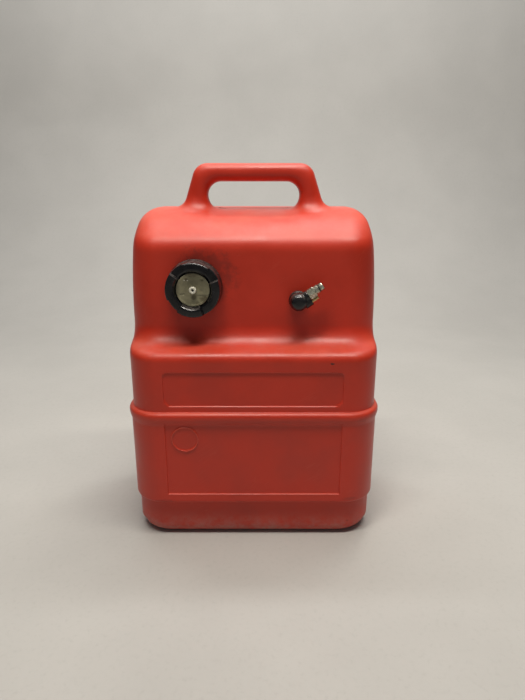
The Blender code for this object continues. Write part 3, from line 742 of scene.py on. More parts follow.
def make_skin(sizes):
    outline = front_outline()
    rows = respaced(outline, row_spacing)
    sections = []
    for front, z in rows:
        section = body_section(front, z)
        mould_front(section, sizes)
        sink_walls(section, sizes)
        raise_parting(section, sizes.parting_height if z > SEAM_Z else 0.0)
        sections.append(section)
    sections = base_rings(sections[0]) + sections + roof_rings(sections[-1])
    for section in sections:
        dip_roof(section)
    skin = loft("tank_skin", sections)
    handle = make_handle()
    neck = lathe("neck_tool", turned_outline(
        [(0.0, -0.003, 0), (NECK_RADIUS + 0.0025, -0.003, 0), (NECK_RADIUS, 0.0016, 0.002),
         (NECK_RADIUS, NECK_LENGTH, 0.0008), (0.0, NECK_LENGTH, 0)], 0.001),
        even_angles(96), CAP_FRAME)
    ridge = thread_ridge("thread_tool", NECK_RADIUS - 0.0006, NECK_RADIUS + THREAD_DEPTH - 0.0002,
                         0.0035, NECK_LENGTH - 0.002, CAP_FRAME)
    cavity = make_cavity(outline)
    bore = rod("bore_tool", NECK_BORE, -0.02, NECK_LENGTH + 0.01, CAP_FRAME, 96)
    hole = rod("hole_tool", 0.0091, -0.02, 0.02, OUTLET_FRAME, 48)
    tools = (cavity, handle, neck, ridge, bore, hole)
    for tool, operation in zip(tools, ("DIFFERENCE", "UNION", "UNION", "UNION", "DIFFERENCE",
                                       "DIFFERENCE")):
        boolean(skin, tool, operation)
    applied(skin, tools)
    blend_joints(skin.data)
    smooth(skin, 50)
    return skin


def blend_joints(mesh):
    """Work the handle's legs into the roof."""
    places = np.empty(len(mesh.vertices) * 3)
    mesh.vertices.foreach_get("co", places)
    x, y, z = places.reshape(-1, 3).T
    leg_x = (GRIP_X + LEG_FOOT_X + 0.008) / 2
    reach_x, reach_y, reach_z = 0.046, 0.044, 0.009
    reach = np.maximum(np.abs(np.abs(x) - leg_x) / reach_x, np.abs(y - HANDLE_Y) / reach_y)
    level = 1 - np.abs(z - ROOF_Z - 0.001) / reach_z
    weight = soft_step((1 - reach) * 4) * soft_step(level * 2.0)
    relax(mesh, np.clip(weight, 0, 1) * 0.5, 50)


# ------------------------------------------------------------------- cap
def notch_share(angles, sizes):
    """1 inside a notch and 0 on a lobe, with soft shoulders."""
    share = np.zeros(len(angles))
    if not sizes.notch_count:
        return share
    pitch = 2 * math.pi / sizes.notch_count
    half = sizes.notch_width / (CAP_CUP + CAP_RADIUS)
    away = np.abs((angles - sizes.notch_first + pitch / 2) % pitch - pitch / 2)
    return soft_step((half - away) / 0.035 + 0.5)


def cap_angles(sizes):
    """Columns round the cap, close together at each notch's two sides."""
    half = sizes.notch_width / (CAP_CUP + CAP_RADIUS)
    pitch = 2 * math.pi / max(sizes.notch_count, 1)
    places = even_angles(132)
    for i in range(sizes.notch_count):
        for side in (-half, half):
            centre = (sizes.notch_first + i * pitch + side) % (2 * math.pi)
            away = np.abs((places - centre + math.pi) % (2 * math.pi) - math.pi)
            places = places[away > 0.034]
            places = np.concatenate((places, centre + np.linspace(-0.03, 0.03, 11)))
    return np.sort(places % (2 * math.pi))


def make_cap_grip(sizes):
    skirt = 0.0008
    outline = turned_outline([
        (CAP_CUP + 0.0034, CAP_LENGTH - 0.0002, 0.0008),
        (CAP_CUP + 0.0020, CAP_LENGTH - 0.0018, 0.0012),
        (CAP_CUP, WEB_HIGH, 0),
        (STEM_RADIUS + 0.0003, WEB_HIGH, 0), (STEM_RADIUS + 0.0003, WEB_LOW, 0),
        (CAP_BORE, WEB_LOW, 0.0008), (CAP_BORE, skirt, 0.0006), (CAP_RADIUS, skirt, 0.0012),
        (CAP_RADIUS - 0.0003, 0.0060, 0.004), (CAP_RIM_RADIUS + 0.0008, 0.0105, 0.004),
        (CAP_RIM_RADIUS, CAP_LENGTH - 0.0002, 0.0020), (CAP_CUP + 0.0056, CAP_LENGTH, 0.002)],
        0.0006)
    base = 0.0172
    floor = CAP_LENGTH - sizes.notch_depth
    angles = cap_angles(sizes)

    def cut_notches(radii, heights, around):
        share = notch_share(around, sizes) * soft_step((radii - CAP_CUP + 0.0010) / 0.0010)
        squeeze = 1 - share * (CAP_LENGTH - floor) / (CAP_LENGTH - base)
        heights = np.where(heights > base, base + (heights - base) * squeeze, heights)
        ribs = np.cos(around * 60) * 0.00016 * soft_step((radii - CAP_RADIUS + 0.0035) / 0.002)
        low = soft_step((0.0085 - heights) / 0.001) * soft_step((heights - 0.0015) / 0.001)
        return radii + (ribs - 0.00018) * low, heights

    cap = lathe("cap_grip", outline, angles, CAP_FRAME, cut_notches)
    ridge = thread_ridge("cap_thread_tool", CAP_BORE + 0.0006, CAP_BORE - THREAD_DEPTH + 0.0002,
                         0.0065, 0.0125, CAP_FRAME)
    boolean(cap, ridge, "UNION")
    applied(cap, (ridge,))
    smooth(cap, 40)
    return cap


def make_disc():
    """The face disc: a raised bead round its edge and small moulding marks."""
    outer = CAP_CUP - 0.0005
    outline = turned_outline([
        (STEM_RADIUS + 0.0003, DISC_HIGH - 0.0003, 0.0002), (STEM_RADIUS + 0.0003, DISC_LOW, 0),
        (outer, DISC_LOW, 0.0003), (outer, DISC_HIGH, 0.0005), (outer - 0.0022, DISC_HIGH, 0.0004),
        (outer - 0.0026, DISC_HIGH - 0.00035, 0.0003)], 0.0004)
    pits = ((0.0123, 0.0138, 0.0015, 0.0011), (0.0125, -0.0016, 0.0016, 0.0003),
            (-0.0125, -0.0060, 0.0017, 0.0006), (-0.0152, -0.0064, 0.0015, 0.0006),
            (-0.0080, 0.0138, 0.0018, 0.0004))
    steps = (-0.004, 0.0035)

    def mark(radii, heights, around):
        x, y = radii * np.cos(around), radii * np.sin(around)
        top = soft_step((heights - DISC_LOW - 0.0005) / 0.0004)
        drop = np.zeros(len(x))
        for pit_x, pit_y, size, depth in pits:
            drop += depth * soft_step(1.5 - np.hypot(x - pit_x, y - pit_y) / size)
        ring = np.hypot(x + 0.0087, y - 0.0078) - 0.0019
        drop -= 0.00028 * np.exp(-(ring / 0.00045) ** 2)
        for edge in steps:
            drop += 0.0003 * soft_step((x - edge) / 0.0005) * soft_step((-0.006 - y) / 0.001)
        return radii, heights - drop * top

    disc = lathe("cap_face_disc", outline, even_angles(200), CAP_FRAME, mark)
    smooth(disc, 50)
    return disc


def make_vent_nipple():
    high = DISC_HIGH + 0.0038
    low = WEB_LOW - 0.003
    outline = turned_outline([
        (STEM_BORE, high - 0.0004, 0.0003), (STEM_BORE, low, 0.0002),
        (STEM_RADIUS, low, 0.0003), (STEM_RADIUS, DISC_HIGH + 0.0003, 0),
        (0.0049, DISC_HIGH + 0.0003, 0.0002), (0.0049, high - 0.0013, 0.0005),
        (0.0041, high, 0.0004), (STEM_BORE + 0.0005, high, 0.0003)], 0.0003)

    def flats(radii, heights, around):
        facet = 1 - 0.05 * np.cos(around * 6) ** 8
        return np.where(heights > DISC_HIGH, np.where(radii > 0.0038, radii * facet, radii),
                        radii), heights

    stem = lathe("vent_nipple", outline, even_angles(72), CAP_FRAME, flats)
    smooth(stem, 40)
    return stem


# ---------------------------------------------------------------- outlet
def make_swivel_ring():
    outline = turned_outline([
        (0.0118, NUT_TOP, 0.0005), (0.0079, NUT_TOP, 0.0003), (0.0079, NUT_TOP - 0.0014, 0),
        (0.0099, NUT_TOP - 0.0014, 0), (0.0099, 0.0039, 0), (NUT_RADIUS, 0.0039, 0.0005),
        (NUT_RADIUS, NUT_TOP - 0.0010, 0.0008)], 0.0004)

    def flutes(radii, heights, around):
        low_edge = soft_step((NUT_TOP - 0.0008 - heights) / 0.0006)
        grip = soft_step((radii - 0.0115) / 0.0008) * low_edge
        return radii - 0.00028 * grip * (0.5 + 0.5 * np.cos(around * 28)) ** 2, heights

    ring = lathe("swivel_ring", outline, even_angles(224), OUTLET_FRAME, flutes)
    smooth(ring, 45)
    return ring


def make_elbow():
    """Moulded elbow, its parts melted together before the bores are cut."""
    stub = lathe("outlet_elbow", turned_outline([
        (0.0, HUB_TOP - WITHIN, 0), (0.0084, HUB_TOP - WITHIN, 0.0070),
        (HUB_RADIUS - WITHIN, HUB_TOP - 0.0080, 0.0080), (HUB_RADIUS - WITHIN, HUB_LOW, 0.0014),
        (HUB_NECK, HUB_LOW, 0), (HUB_NECK, COLLAR_LOW + 0.0012, 0.0006),
        (COLLAR_RADIUS, COLLAR_LOW + 0.0010, 0.0003), (COLLAR_RADIUS, COLLAR_LOW, 0),
        (0.0, COLLAR_LOW, 0)], 0.0006), even_angles(64), OUTLET_FRAME)
    barrel = rod("barrel_tool", BARREL_RADIUS - WITHIN, 0.002, BARREL_LENGTH - WITHIN, SPOUT_FRAME,
                 64, 0.0006)
    pin_frame = SPOUT_FRAME @ Matrix.Translation((0.0003 - PIN_OFFSET, 0, 0))
    ear = rod("ear_tool", 0.0049, 0.004, BARREL_LENGTH - 0.0006, pin_frame, 48, 0.0008)
    web = make_web()
    for tool in (barrel, ear, web):
        boolean(stub, tool, "UNION")
    remesh = stub.modifiers.new("melt", "REMESH")
    remesh.mode = "VOXEL"
    remesh.voxel_size = 0.00032
    ease = stub.modifiers.new("ease", "SMOOTH")
    ease.factor = 0.5
    ease.iterations = 6
    plug = rod("plug_tool", PLUG_RADIUS, -0.0036, COLLAR_LOW + 0.0006, OUTLET_FRAME, 48, 0.0003)
    boolean(stub, plug, "UNION")
    groove = lathe("groove_tool", turned_outline(
        [(0.0047, 0.0030, 0), (0.0047, 0.0010, 0), (0.0075, 0.0010, 0), (0.0075, 0.0030, 0)],
        0.001), even_angles(48), OUTLET_FRAME)
    rise = rod("rise_tool", PASSAGE, -0.01, ELBOW_HEIGHT, OUTLET_FRAME, 32)
    run = rod("run_tool", PASSAGE, -0.0005, 0.03, SPOUT_FRAME, 32)
    socket = rod("socket_tool", 0.0051, 0.0075, 0.03, SPOUT_FRAME, 40)
    pin_frame = SPOUT_FRAME @ Matrix.Translation((-PIN_OFFSET, 0, 0))
    pin_hole = rod("pin_hole_tool", 0.0026, 0.009, 0.03, pin_frame, 32)
    for tool in (groove, rise, run, socket, pin_hole):
        boolean(stub, tool, "DIFFERENCE")
    applied(stub, (barrel, ear, web, plug, groove, rise, run, socket, pin_hole))
    smooth(stub, 50)
    return stub


def make_web():
    """The wall that joins the spout's barrel to the pin's boss."""
    half = 0.0062
    sections = []
    for t, ease in ((0.003, 0.0), (BARREL_LENGTH - 0.0016, 0.0), (BARREL_LENGTH - 0.0006, 0.0008)):
        loop = ((-PIN_OFFSET, ease - half), (0.0, ease - half), (0.0, half - ease),
                (-PIN_OFFSET, half - ease))
        sections.append(np.array([(u, v, t) for u, v in loop]))
    item = loft("web_tool", sections)
    item.data.transform(SPOUT_FRAME)
    clean(item.data)
    return item


def hexed(flat, chamfer, low, high):
    """Shape for a lathe that turns the band between two heights into a hexagon."""
    def shape(radii, heights, around):
        inside = (heights > low) & (heights < high) & (radii > flat - 0.0004)
        sector = (around + math.pi / 6) % (math.pi / 3) - math.pi / 6
        corner = flat / np.cos(sector)
        edge = np.minimum(heights - low, high - heights)
        limit = flat * 1.035 + edge / math.tan(chamfer)
        return np.where(inside, np.minimum(corner, limit), radii), heights
    return shape


def make_connector():
    root = BARREL_LENGTH + 0.0003
    collar = root + 0.0098
    tip = NIPPLE_TIP
    outline = turned_outline([
        (0.0020, tip, 0.0002), (0.0020, tip - 0.0014, 0), (NIPPLE_BORE, tip - 0.0016, 0),
        (NIPPLE_BORE, 0.0080, 0), (0.0048, 0.0080, 0.0003), (0.0048, root - 0.0002, 0),
        (COLLAR_FLAT, root, 0.0003), (COLLAR_FLAT, collar, 0.0003), (0.0055, collar + 0.0001, 0),
        (0.0055, collar + 0.0008, 0.0001), (0.0060, collar + 0.0010, 0.0003),
        (0.0060, tip - 0.0072, 0.0004), (0.0042, tip - 0.0071, 0.0002),
        (0.0042, tip - 0.0053, 0.0002), (0.0051, tip - 0.0052, 0.0003),
        (0.0051, tip - 0.0012, 0.0005), (0.0043, tip, 0.0003)], 0.00022)
    hexagon = hexed(COLLAR_FLAT, math.radians(55), root + 0.00005, collar - 0.00005)
    nipple = lathe("hose_connector", outline, even_angles(120), SPOUT_FRAME, hexagon)
    smooth(nipple, 32)
    return nipple


def make_pin():
    high = BARREL_LENGTH + 0.0095
    outline = turned_outline([
        (0.0, high, 0), (0.0023, high, 0.0009), (0.0024, high - 0.0022, 0.0003),
        (0.0020, high - 0.0026, 0.0002), (0.0020, high - 0.0034, 0.0002),
        (0.0024, high - 0.0038, 0.0003), (0.0024, 0.0094, 0.0002), (0.0, 0.0094, 0)], 0.0003)
    frame_at = SPOUT_FRAME @ Matrix.Translation((-PIN_OFFSET, 0, 0))
    pin = lathe("locating_pin", outline, even_angles(48), frame_at)
    smooth(pin, 40)
    return pin


# -------------------------------------------------------------- finishes
def node(tree, kind, values=None, **settings):
    """Add a shader node; values sets its input sockets and settings its own fields."""
    item = tree.nodes.new(kind)
    for name, value in settings.items():
        setattr(item, name, value)
    for name, value in (values or {}).items():
        if isinstance(value, bpy.types.NodeSocket):
            tree.links.new(value, item.inputs[name])
        else:
            item.inputs[name].default_value = value
    return item


def maths(tree, operation, first, second=0.0, third=0.0, clamp=False):
    item = node(tree, "ShaderNodeMath", {0: first, 1: second, 2: third}, operation=operation)
    item.use_clamp = clamp
    return item.outputs[0]


def remap(tree, value, low, high, to_low=0.0, to_high=1.0):
    item = node(tree, "ShaderNodeMapRange", {
        "Value": value, "From Min": low, "From Max": high, "To Min": to_low, "To Max": to_high},
        interpolation_type="SMOOTHSTEP")
    return item.outputs[0]


def mixed(tree, share, first, second):
    """Blend two colours by a share from 0 to 1."""
    item = node(tree, "ShaderNodeMix", data_type="RGBA")
    sockets = {s.identifier: s for s in item.inputs}
    for socket, value in ((sockets["Factor_Float"], share), (sockets["A_Color"], first),
                          (sockets["B_Color"], second)):
        if isinstance(value, bpy.types.NodeSocket):
            tree.links.new(value, socket)
        elif socket.type == "RGBA":
            socket.default_value = (*value[:3], 1.0)
        else:
            socket.default_value = value
    return next(s for s in item.outputs if s.identifier == "Result_Color")


def noise(tree, place, scale, detail=3.0, roughness=0.5, stretch=None):
    if stretch:
        place = node(tree, "ShaderNodeMapping", {"Vector": place, "Scale": stretch}).outputs[0]
    return node(tree, "ShaderNodeTexNoise", {
        "Vector": place, "Scale": scale, "Detail": detail, "Roughness": roughness}).outputs[0]


def new_group(name, inputs, outputs):
    """A node group with float or vector inputs and float outputs."""
    tree = bpy.data.node_groups.new(name, "ShaderNodeTree")
    for label, default in inputs.items():
        kind = "NodeSocketVector" if isinstance(default, tuple) else "NodeSocketFloat"
        socket = tree.interface.new_socket(label, in_out="INPUT", socket_type=kind)
        socket.default_value = default
    for label in outputs:
        tree.interface.new_socket(label, in_out="OUTPUT", socket_type="NodeSocketFloat")
    source = tree.nodes.new("NodeGroupInput")
    sink = tree.nodes.new("NodeGroupOutput")
    return tree, source.outputs, sink.inputs


def group_grain():
    """Moulded grain: a fine pebble for bump and a slow mottle for colour."""
    tree, given, out = new_group("moulded_grain", {"Scale": 900.0, "Mottle Scale": 22.0},
                                 ("Height", "Mottle"))
    place = node(tree, "ShaderNodeTexCoord").outputs["Object"]
    pebble = noise(tree, place, given["Scale"], 3.0, 0.6)
    swell = noise(tree, place, given["Mottle Scale"], 4.0, 0.55)
    tree.links.new(maths(tree, "MULTIPLY_ADD", swell, 1.5, pebble), out["Height"])
    tree.links.new(remap(tree, swell, 0.32, 0.68), out["Mottle"])
    return tree


def group_edge_wear():
    """Rubbed edges: ridges of the mesh, broken up by noise."""
    tree, given, out = new_group("edge_wear", {"Amount": 0.5, "Sharpness": 0.53, "Scale": 90.0},
                                 ("Mask",))
    place = node(tree, "ShaderNodeTexCoord").outputs["Object"]
    ridge = node(tree, "ShaderNodeNewGeometry").outputs["Pointiness"]
    high = maths(tree, "ADD", given["Sharpness"], 0.06)
    edge = remap(tree, ridge, given["Sharpness"], high)
    broken = remap(tree, noise(tree, place, given["Scale"], 5.0, 0.65), 0.35, 0.62)
    worn = maths(tree, "MULTIPLY", edge, broken)
    tree.links.new(maths(tree, "MULTIPLY", worn, given["Amount"], clamp=True), out["Mask"])
    return tree


def group_dust_and_top_light():
    """Mask for faces that look up and for splashes below a low line: settled dust, and painted top
    light on the skin.
    """
    tree, given, out = new_group("dust_and_top_light", {"Amount": 0.5, "Low Line": 0.03, "Scale": 45.0,
                                                  "Upward Share": 1.0}, ("Mask",))
    geometry = node(tree, "ShaderNodeNewGeometry")
    up = node(tree, "ShaderNodeSeparateXYZ", {0: geometry.outputs["Normal"]}).outputs["Z"]
    place = node(tree, "ShaderNodeTexCoord").outputs["Object"]
    height = node(tree, "ShaderNodeSeparateXYZ", {0: place}).outputs["Z"]
    settled = maths(tree, "MULTIPLY", remap(tree, up, 0.25, 0.95), given["Upward Share"])
    low = maths(tree, "SUBTRACT", 1.0, remap(tree, height, 0.0, given["Low Line"]))
    patchy = remap(tree, noise(tree, place, given["Scale"], 6.0, 0.7), 0.30, 0.72)
    either = maths(tree, "MAXIMUM", settled, low)
    dusty = maths(tree, "MULTIPLY", either, patchy)
    tree.links.new(maths(tree, "MULTIPLY", dusty, given["Amount"], clamp=True), out["Mask"])
    return tree


def group_scratches():
    """Fine scratches in two directions."""
    tree, given, out = new_group("scratches", {"Scale": 60.0, "Amount": 0.5}, ("Mask",))
    place = node(tree, "ShaderNodeTexCoord").outputs["Object"]
    masks = []
    for turn, stretch in ((0.5, (0.06, 1.0, 1.6)), (-0.9, (1.7, 1.0, 0.05))):
        turned = node(tree, "ShaderNodeMapping", {"Vector": place, "Rotation": (0.2, turn, 0.1)})
        lines = noise(tree, turned.outputs[0], given["Scale"], 2.0, 0.4, stretch)
        ridge = maths(tree, "ABSOLUTE", maths(tree, "SUBTRACT", lines, 0.5))
        line = maths(tree, "SUBTRACT", 1.0, remap(tree, ridge, 0.0, 0.012))
        where = remap(tree, noise(tree, place, maths(tree, "MULTIPLY", given["Scale"], 0.35), 2.0),
                      0.50, 0.66)
        masks.append(maths(tree, "MULTIPLY", line, where))
    both = maths(tree, "MAXIMUM", *masks)
    tree.links.new(maths(tree, "MULTIPLY", both, given["Amount"], clamp=True), out["Mask"])
    return tree


def group_patch():
    """A ragged patch round one place: used for scuffs and stains, and for painted shadows and
    glints.
    """
    tree, given, out = new_group("ragged_patch", {
        "Centre": (0.0, 0.0, 0.0), "Reach": (0.01, 0.01, 0.01), "Scale": 300.0, "Strength": 1.0},
        ("Mask",))
    place = node(tree, "ShaderNodeTexCoord").outputs["Object"]
    offset = node(tree, "ShaderNodeVectorMath", {0: place, 1: given["Centre"]},
                  operation="SUBTRACT").outputs[0]
    scaled = node(tree, "ShaderNodeVectorMath", {0: offset, 1: given["Reach"]},
                  operation="DIVIDE").outputs[0]
    away = node(tree, "ShaderNodeVectorMath", {0: scaled}, operation="LENGTH").outputs["Value"]
    ragged = noise(tree, place, given["Scale"], 5.0, 0.7)
    edge = maths(tree, "ADD", away, maths(tree, "MULTIPLY", maths(tree, "SUBTRACT", ragged, 0.5),
                                          1.6))
    patch = maths(tree, "SUBTRACT", 1.0, remap(tree, edge, 0.45, 1.0))
    tree.links.new(maths(tree, "MULTIPLY", patch, given["Strength"], clamp=True), out["Mask"])
    return tree


GROUP_MAKERS = {"moulded_grain": group_grain, "edge_wear": group_edge_wear,
                "dust_and_top_light": group_dust_and_top_light, "scratches": group_scratches,
                "ragged_patch": group_patch}


def effect(tree, name, output="Mask", **values):
    """Place a shared effect in a material; its values are given as words_with_underscores."""
    item = tree.nodes.new("ShaderNodeGroup")
    item.node_tree = bpy.data.node_groups[name]
    for label, value in values.items():
        item.inputs[label.replace("_", " ").title()].default_value = value
    return item.outputs[output]


def new_material(name, roughness, metallic=0.0):
    """A material whose Principled shader is ready to be wired."""
    material = bpy.data.materials.new(name)
    material.use_nodes = True
    shader = material.node_tree.nodes["Principled BSDF"]
    shader.inputs["Roughness"].default_value = roughness
    shader.inputs["Metallic"].default_value = metallic
    return material, material.node_tree, shader


def bump(tree, shader, height, strength, distance):
    made = node(tree, "ShaderNodeBump", {"Height": height, "Strength": strength,
                                         "Distance": distance})
    tree.links.new(made.outputs[0], shader.inputs["Normal"])


def wire_up(tree, shader, colour=None, roughness=None, metallic=None):
    for name, value in (("Base Color", colour), ("Roughness", roughness), ("Metallic", metallic)):
        if value is not None:
            tree.links.new(value, shader.inputs[name])


SCUFFS = (
    ((0.1056, FRONT_Y + 0.007, 0.2665), (0.0035, 0.02, 0.0016), 500.0, 0.95),
    ((0.1497, FRONT_Y + 0.010, 0.1858), (0.010, 0.03, 0.004), 260.0, 0.15),
    ((-0.1274, FRONT_Y + 0.006, 0.0606), (0.018, 0.02, 0.0035), 260.0, 0.22),
    ((0.1378, FRONT_Y + 0.006, 0.0640), (0.013, 0.02, 0.0030), 260.0, 0.22),
    ((CAP_PLACE.x + 0.012, CAP_PLACE.y, CAP_PLACE.z + 0.014), (0.050, 0.02, 0.044), 70.0, 0.45),
    ((0.1370, FRONT_Y + 0.020, 0.0230), (0.0030, 0.02, 0.0024), 400.0, 0.35),
)


def finish_skin(finish):
    material, tree, shader = new_material("red polyethylene", 0.42)
    mottle = effect(tree, "moulded_grain", "Mottle", mottle_scale=14.0)
    # Painted top light: faces that look up are drawn towards the lit skin colour, partly a real
    # fade.
    top_light_and_fade = effect(tree, "dust_and_top_light", amount=0.45, low_line=0.001, scale=9.0)
    worn = effect(tree, "edge_wear", amount=finish.wear, sharpness=0.515, scale=70.0)
    dusty = effect(tree, "dust_and_top_light", amount=finish.dustiness, low_line=0.045, scale=60.0,
                   upward_share=0.15)
    lines = effect(tree, "scratches", scale=55.0, amount=0.07)
    deep = tuple(c * 0.86 for c in finish.skin)
    colour = mixed(tree, mottle, deep, tuple(finish.skin))
    colour = mixed(tree, top_light_and_fade, colour, tuple(finish.skin_lit_and_faded))
    colour = mixed(tree, worn, colour, (0.80, 0.20, 0.13))
    colour = mixed(tree, lines, colour, (0.78, 0.19, 0.12))
    colour = mixed(tree, dusty, colour, tuple(finish.dust))
    for centre, reach, scale, strength in SCUFFS:
        patch = effect(tree, "ragged_patch", centre=centre, reach=reach, scale=scale,
                       strength=strength)
        colour = mixed(tree, patch, colour, (0.035, 0.012, 0.010))
    rough = remap(tree, mottle, 0.0, 1.0, 0.36, 0.47)
    rough = maths(tree, "ADD", rough, maths(tree, "MULTIPLY", dusty, 0.35))
    wire_up(tree, shader, colour, maths(tree, "ADD", rough, maths(tree, "MULTIPLY", lines, 0.2)))
    height = effect(tree, "moulded_grain", "Height", scale=750.0, mottle_scale=30.0)
    bump(tree, shader, height, 0.22, 0.0004)
    return material


def finish_disc(finish):
    material, tree, shader = new_material("olive disc", 0.5)
    mottle = effect(tree, "moulded_grain", "Mottle", mottle_scale=120.0)
    soiled = effect(tree, "edge_wear", amount=0.5, sharpness=0.50, scale=300.0)
    colour = mixed(tree, mottle, tuple(c * 0.72 for c in finish.disc), tuple(finish.disc))
    centre = CAP_PLACE + Vector((0, -DISC_HIGH, 0))
    # Painted shadow: the three dark patches below the middle are the nipple's shadow, the one
    # along the top edge is painted shade under the rim, and the small upper-left one is a dark dot
    # over a pit.
    shadows_and_dot = (((0.0150, 0, -0.0125), (0.0080, 0.01, 0.0065), 0.75),
              ((0.0, 0, 0.0205), (0.0125, 0.01, 0.0040), 0.6),
              ((0.0010, 0, -0.0095), (0.0042, 0.01, 0.0050), 0.75),
              ((-0.0080, 0, 0.0140), (0.0035, 0.01, 0.0022), 0.8),
              ((0.0060, 0, -0.0190), (0.0040, 0.01, 0.0050), 0.55))
    for offset, reach, strength in shadows_and_dot:
        patch = effect(tree, "ragged_patch", centre=tuple(centre + Vector(offset)), reach=reach,
                       scale=420.0, strength=strength)
        colour = mixed(tree, patch, colour, (0.085, 0.065, 0.030))
    # Painted glints: two small light spots at the upper left of the disc.
    for x, z in ((-0.0106, 0.0126), (-0.0066, 0.0126)):
        spot = effect(tree, "ragged_patch", centre=tuple(centre + Vector((x, 0, z))),
                      reach=(0.0011, 0.01, 0.0009), scale=200.0, strength=0.9)
        colour = mixed(tree, spot, colour, (0.75, 0.72, 0.60))
    colour = mixed(tree, soiled, colour, (0.42, 0.38, 0.26))
    wire_up(tree, shader, colour, remap(tree, mottle, 0.0, 1.0, 0.38, 0.6))
    height = effect(tree, "moulded_grain", "Height", scale=1500.0, mottle_scale=260.0)
    bump(tree, shader, height, 0.2, 0.00015)
    return material


def finish_moulded(name, mottle_scale, tones, rough, grain, wear=None, marks=None, dust=None):
    """A plain moulding; wear, marks and dust may each be left out."""
    material, tree, shader = new_material(name, rough[0])
    mottle = effect(tree, "moulded_grain", "Mottle", mottle_scale=mottle_scale)
    colour = mixed(tree, mottle, *tones)
    roughness = remap(tree, mottle, 0.0, 1.0, *rough)
    if wear:
        amount, sharpness, scale, rubbed = wear
        worn = effect(tree, "edge_wear", amount=amount, sharpness=sharpness, scale=scale)
        colour = mixed(tree, worn, colour, rubbed)
    if marks:
        amount, scale, scratched = marks
        lines = effect(tree, "scratches", scale=scale, amount=amount)
        colour = mixed(tree, lines, colour, scratched)
    if dust:
        amount, scale, settled, dulled = dust
        dusty = effect(tree, "dust_and_top_light", amount=amount, low_line=0.001, scale=scale)
        colour = mixed(tree, dusty, colour, settled)
        roughness = maths(tree, "ADD", roughness, maths(tree, "MULTIPLY", dusty, dulled))
    wire_up(tree, shader, colour, roughness)
    scale, slow, strength, distance = grain
    height = effect(tree, "moulded_grain", "Height", scale=scale, mottle_scale=slow)
    bump(tree, shader, height, strength, distance)
    return material


MOULDED = {
    "black nylon": {
        "mottle_scale": 70.0, "tones": ((0.005, 0.005, 0.006), (0.011, 0.011, 0.012)),
        "rough": (0.13, 0.24), "grain": (1800.0, 220.0, 0.16, 0.00012),
        "wear": (0.4, 0.55, 260.0, (0.16, 0.14, 0.125)),
        "marks": (0.15, 260.0, (0.11, 0.10, 0.095)),
        "dust": (0.35, 160.0, (0.22, 0.185, 0.165), 0.4)},
    "pale nylon": {
        "mottle_scale": 400.0, "tones": ((0.66, 0.62, 0.47), (0.86, 0.84, 0.74)),
        "rough": (0.3, 0.45), "grain": (2600.0, 500.0, 0.12, 0.0001),
        "wear": (0.5, 0.52, 500.0, (0.92, 0.91, 0.85))},
    "black rubber": {
        "mottle_scale": 160.0, "tones": ((0.018, 0.018, 0.018), (0.036, 0.035, 0.034)),
        "rough": (0.6, 0.8), "grain": (2200.0, 300.0, 0.25, 0.0001),
        "dust": (0.4, 260.0, (0.14, 0.13, 0.12), 0.0)},
}


def finish_metal(name, dark, light, tarnish, spread, roughness):
    """A bare metal with drawn grain, tarnish and bright rubbed edges."""
    material, tree, shader = new_material(name, roughness, 1.0)
    mottle = effect(tree, "moulded_grain", "Mottle", mottle_scale=spread)
    worn = effect(tree, "edge_wear", amount=0.8, sharpness=0.53, scale=500.0)
    lines = effect(tree, "scratches", scale=420.0, amount=0.5)
    specks = effect(tree, "moulded_grain", "Mottle", mottle_scale=spread * 3.1)
    colour = mixed(tree, mottle, dark, light)
    spoiled = maths(tree, "MULTIPLY", specks, 0.55)
    colour = mixed(tree, spoiled, colour, tarnish)
    colour = mixed(tree, worn, colour, tuple(min(c * 1.35, 0.95) for c in light))
    colour = mixed(tree, lines, colour, light)
    wire_up(tree, shader, colour, remap(tree, specks, 0.0, 1.0, roughness, roughness + 0.22),
            remap(tree, specks, 0.0, 1.0, 1.0, 0.75))
    height = effect(tree, "moulded_grain", "Height", scale=2400.0, mottle_scale=spread * 2)
    bump(tree, shader, height, 0.15, 0.0001)
    return material


def finish_gauze():
    """Woven wire: two crossed sets of ridges."""
    material, tree, shader = new_material("brass gauze", 0.4, 1.0)
    place = node(tree, "ShaderNodeTexCoord").outputs["Object"]
    waves = []
    for direction in ("X", "Z"):
        wave = node(tree, "ShaderNodeTexWave", {"Vector": place, "Scale": 480.0,
                                                "Distortion": 0.0},
                    wave_type="BANDS", bands_direction=direction)
        waves.append(wave.outputs["Fac"])
    weave = maths(tree, "MAXIMUM", *waves)
    mottle = effect(tree, "moulded_grain", "Mottle", mottle_scale=260.0)
    colour = mixed(tree, weave, (0.05, 0.035, 0.015), (0.52, 0.38, 0.17))
    colour = mixed(tree, maths(tree, "MULTIPLY", mottle, 0.4), colour, (0.20, 0.16, 0.09))
    wire_up(tree, shader, colour, remap(tree, weave, 0.0, 1.0, 0.6, 0.35))
    bump(tree, shader, weave, 0.6, 0.0003)
    return material


METALS = {
    "plated_steel": ("plated steel", (0.30, 0.31, 0.24), (0.66, 0.66, 0.56), (0.17, 0.15, 0.10),
                     170.0, 0.26),
    "spring_steel": ("spring steel", (0.30, 0.30, 0.30), (0.50, 0.50, 0.49), (0.14, 0.12, 0.10),
                     300.0, 0.3),
    "brass": ("brass", (0.24, 0.15, 0.06), (0.44, 0.30, 0.13), (0.12, 0.08, 0.035), 260.0, 0.32),
}


# ----------------------------------------------------------------- stage
def floor_mesh():
    """A floor that runs back and curves up into a backdrop."""
    outline = rounded_path([(-3.5, 0.0, 0), (1.9, 0.0, 0.9), (1.9, 2.6, 0)], 24)
    outline = along(outline, 0.12)
    columns = np.linspace(-4.5, 4.5, 31)
    points = [(x, y, z) for y, z in outline for x in columns]
    return new_mesh("floor", points, band_faces(len(outline), len(columns), closed=False))


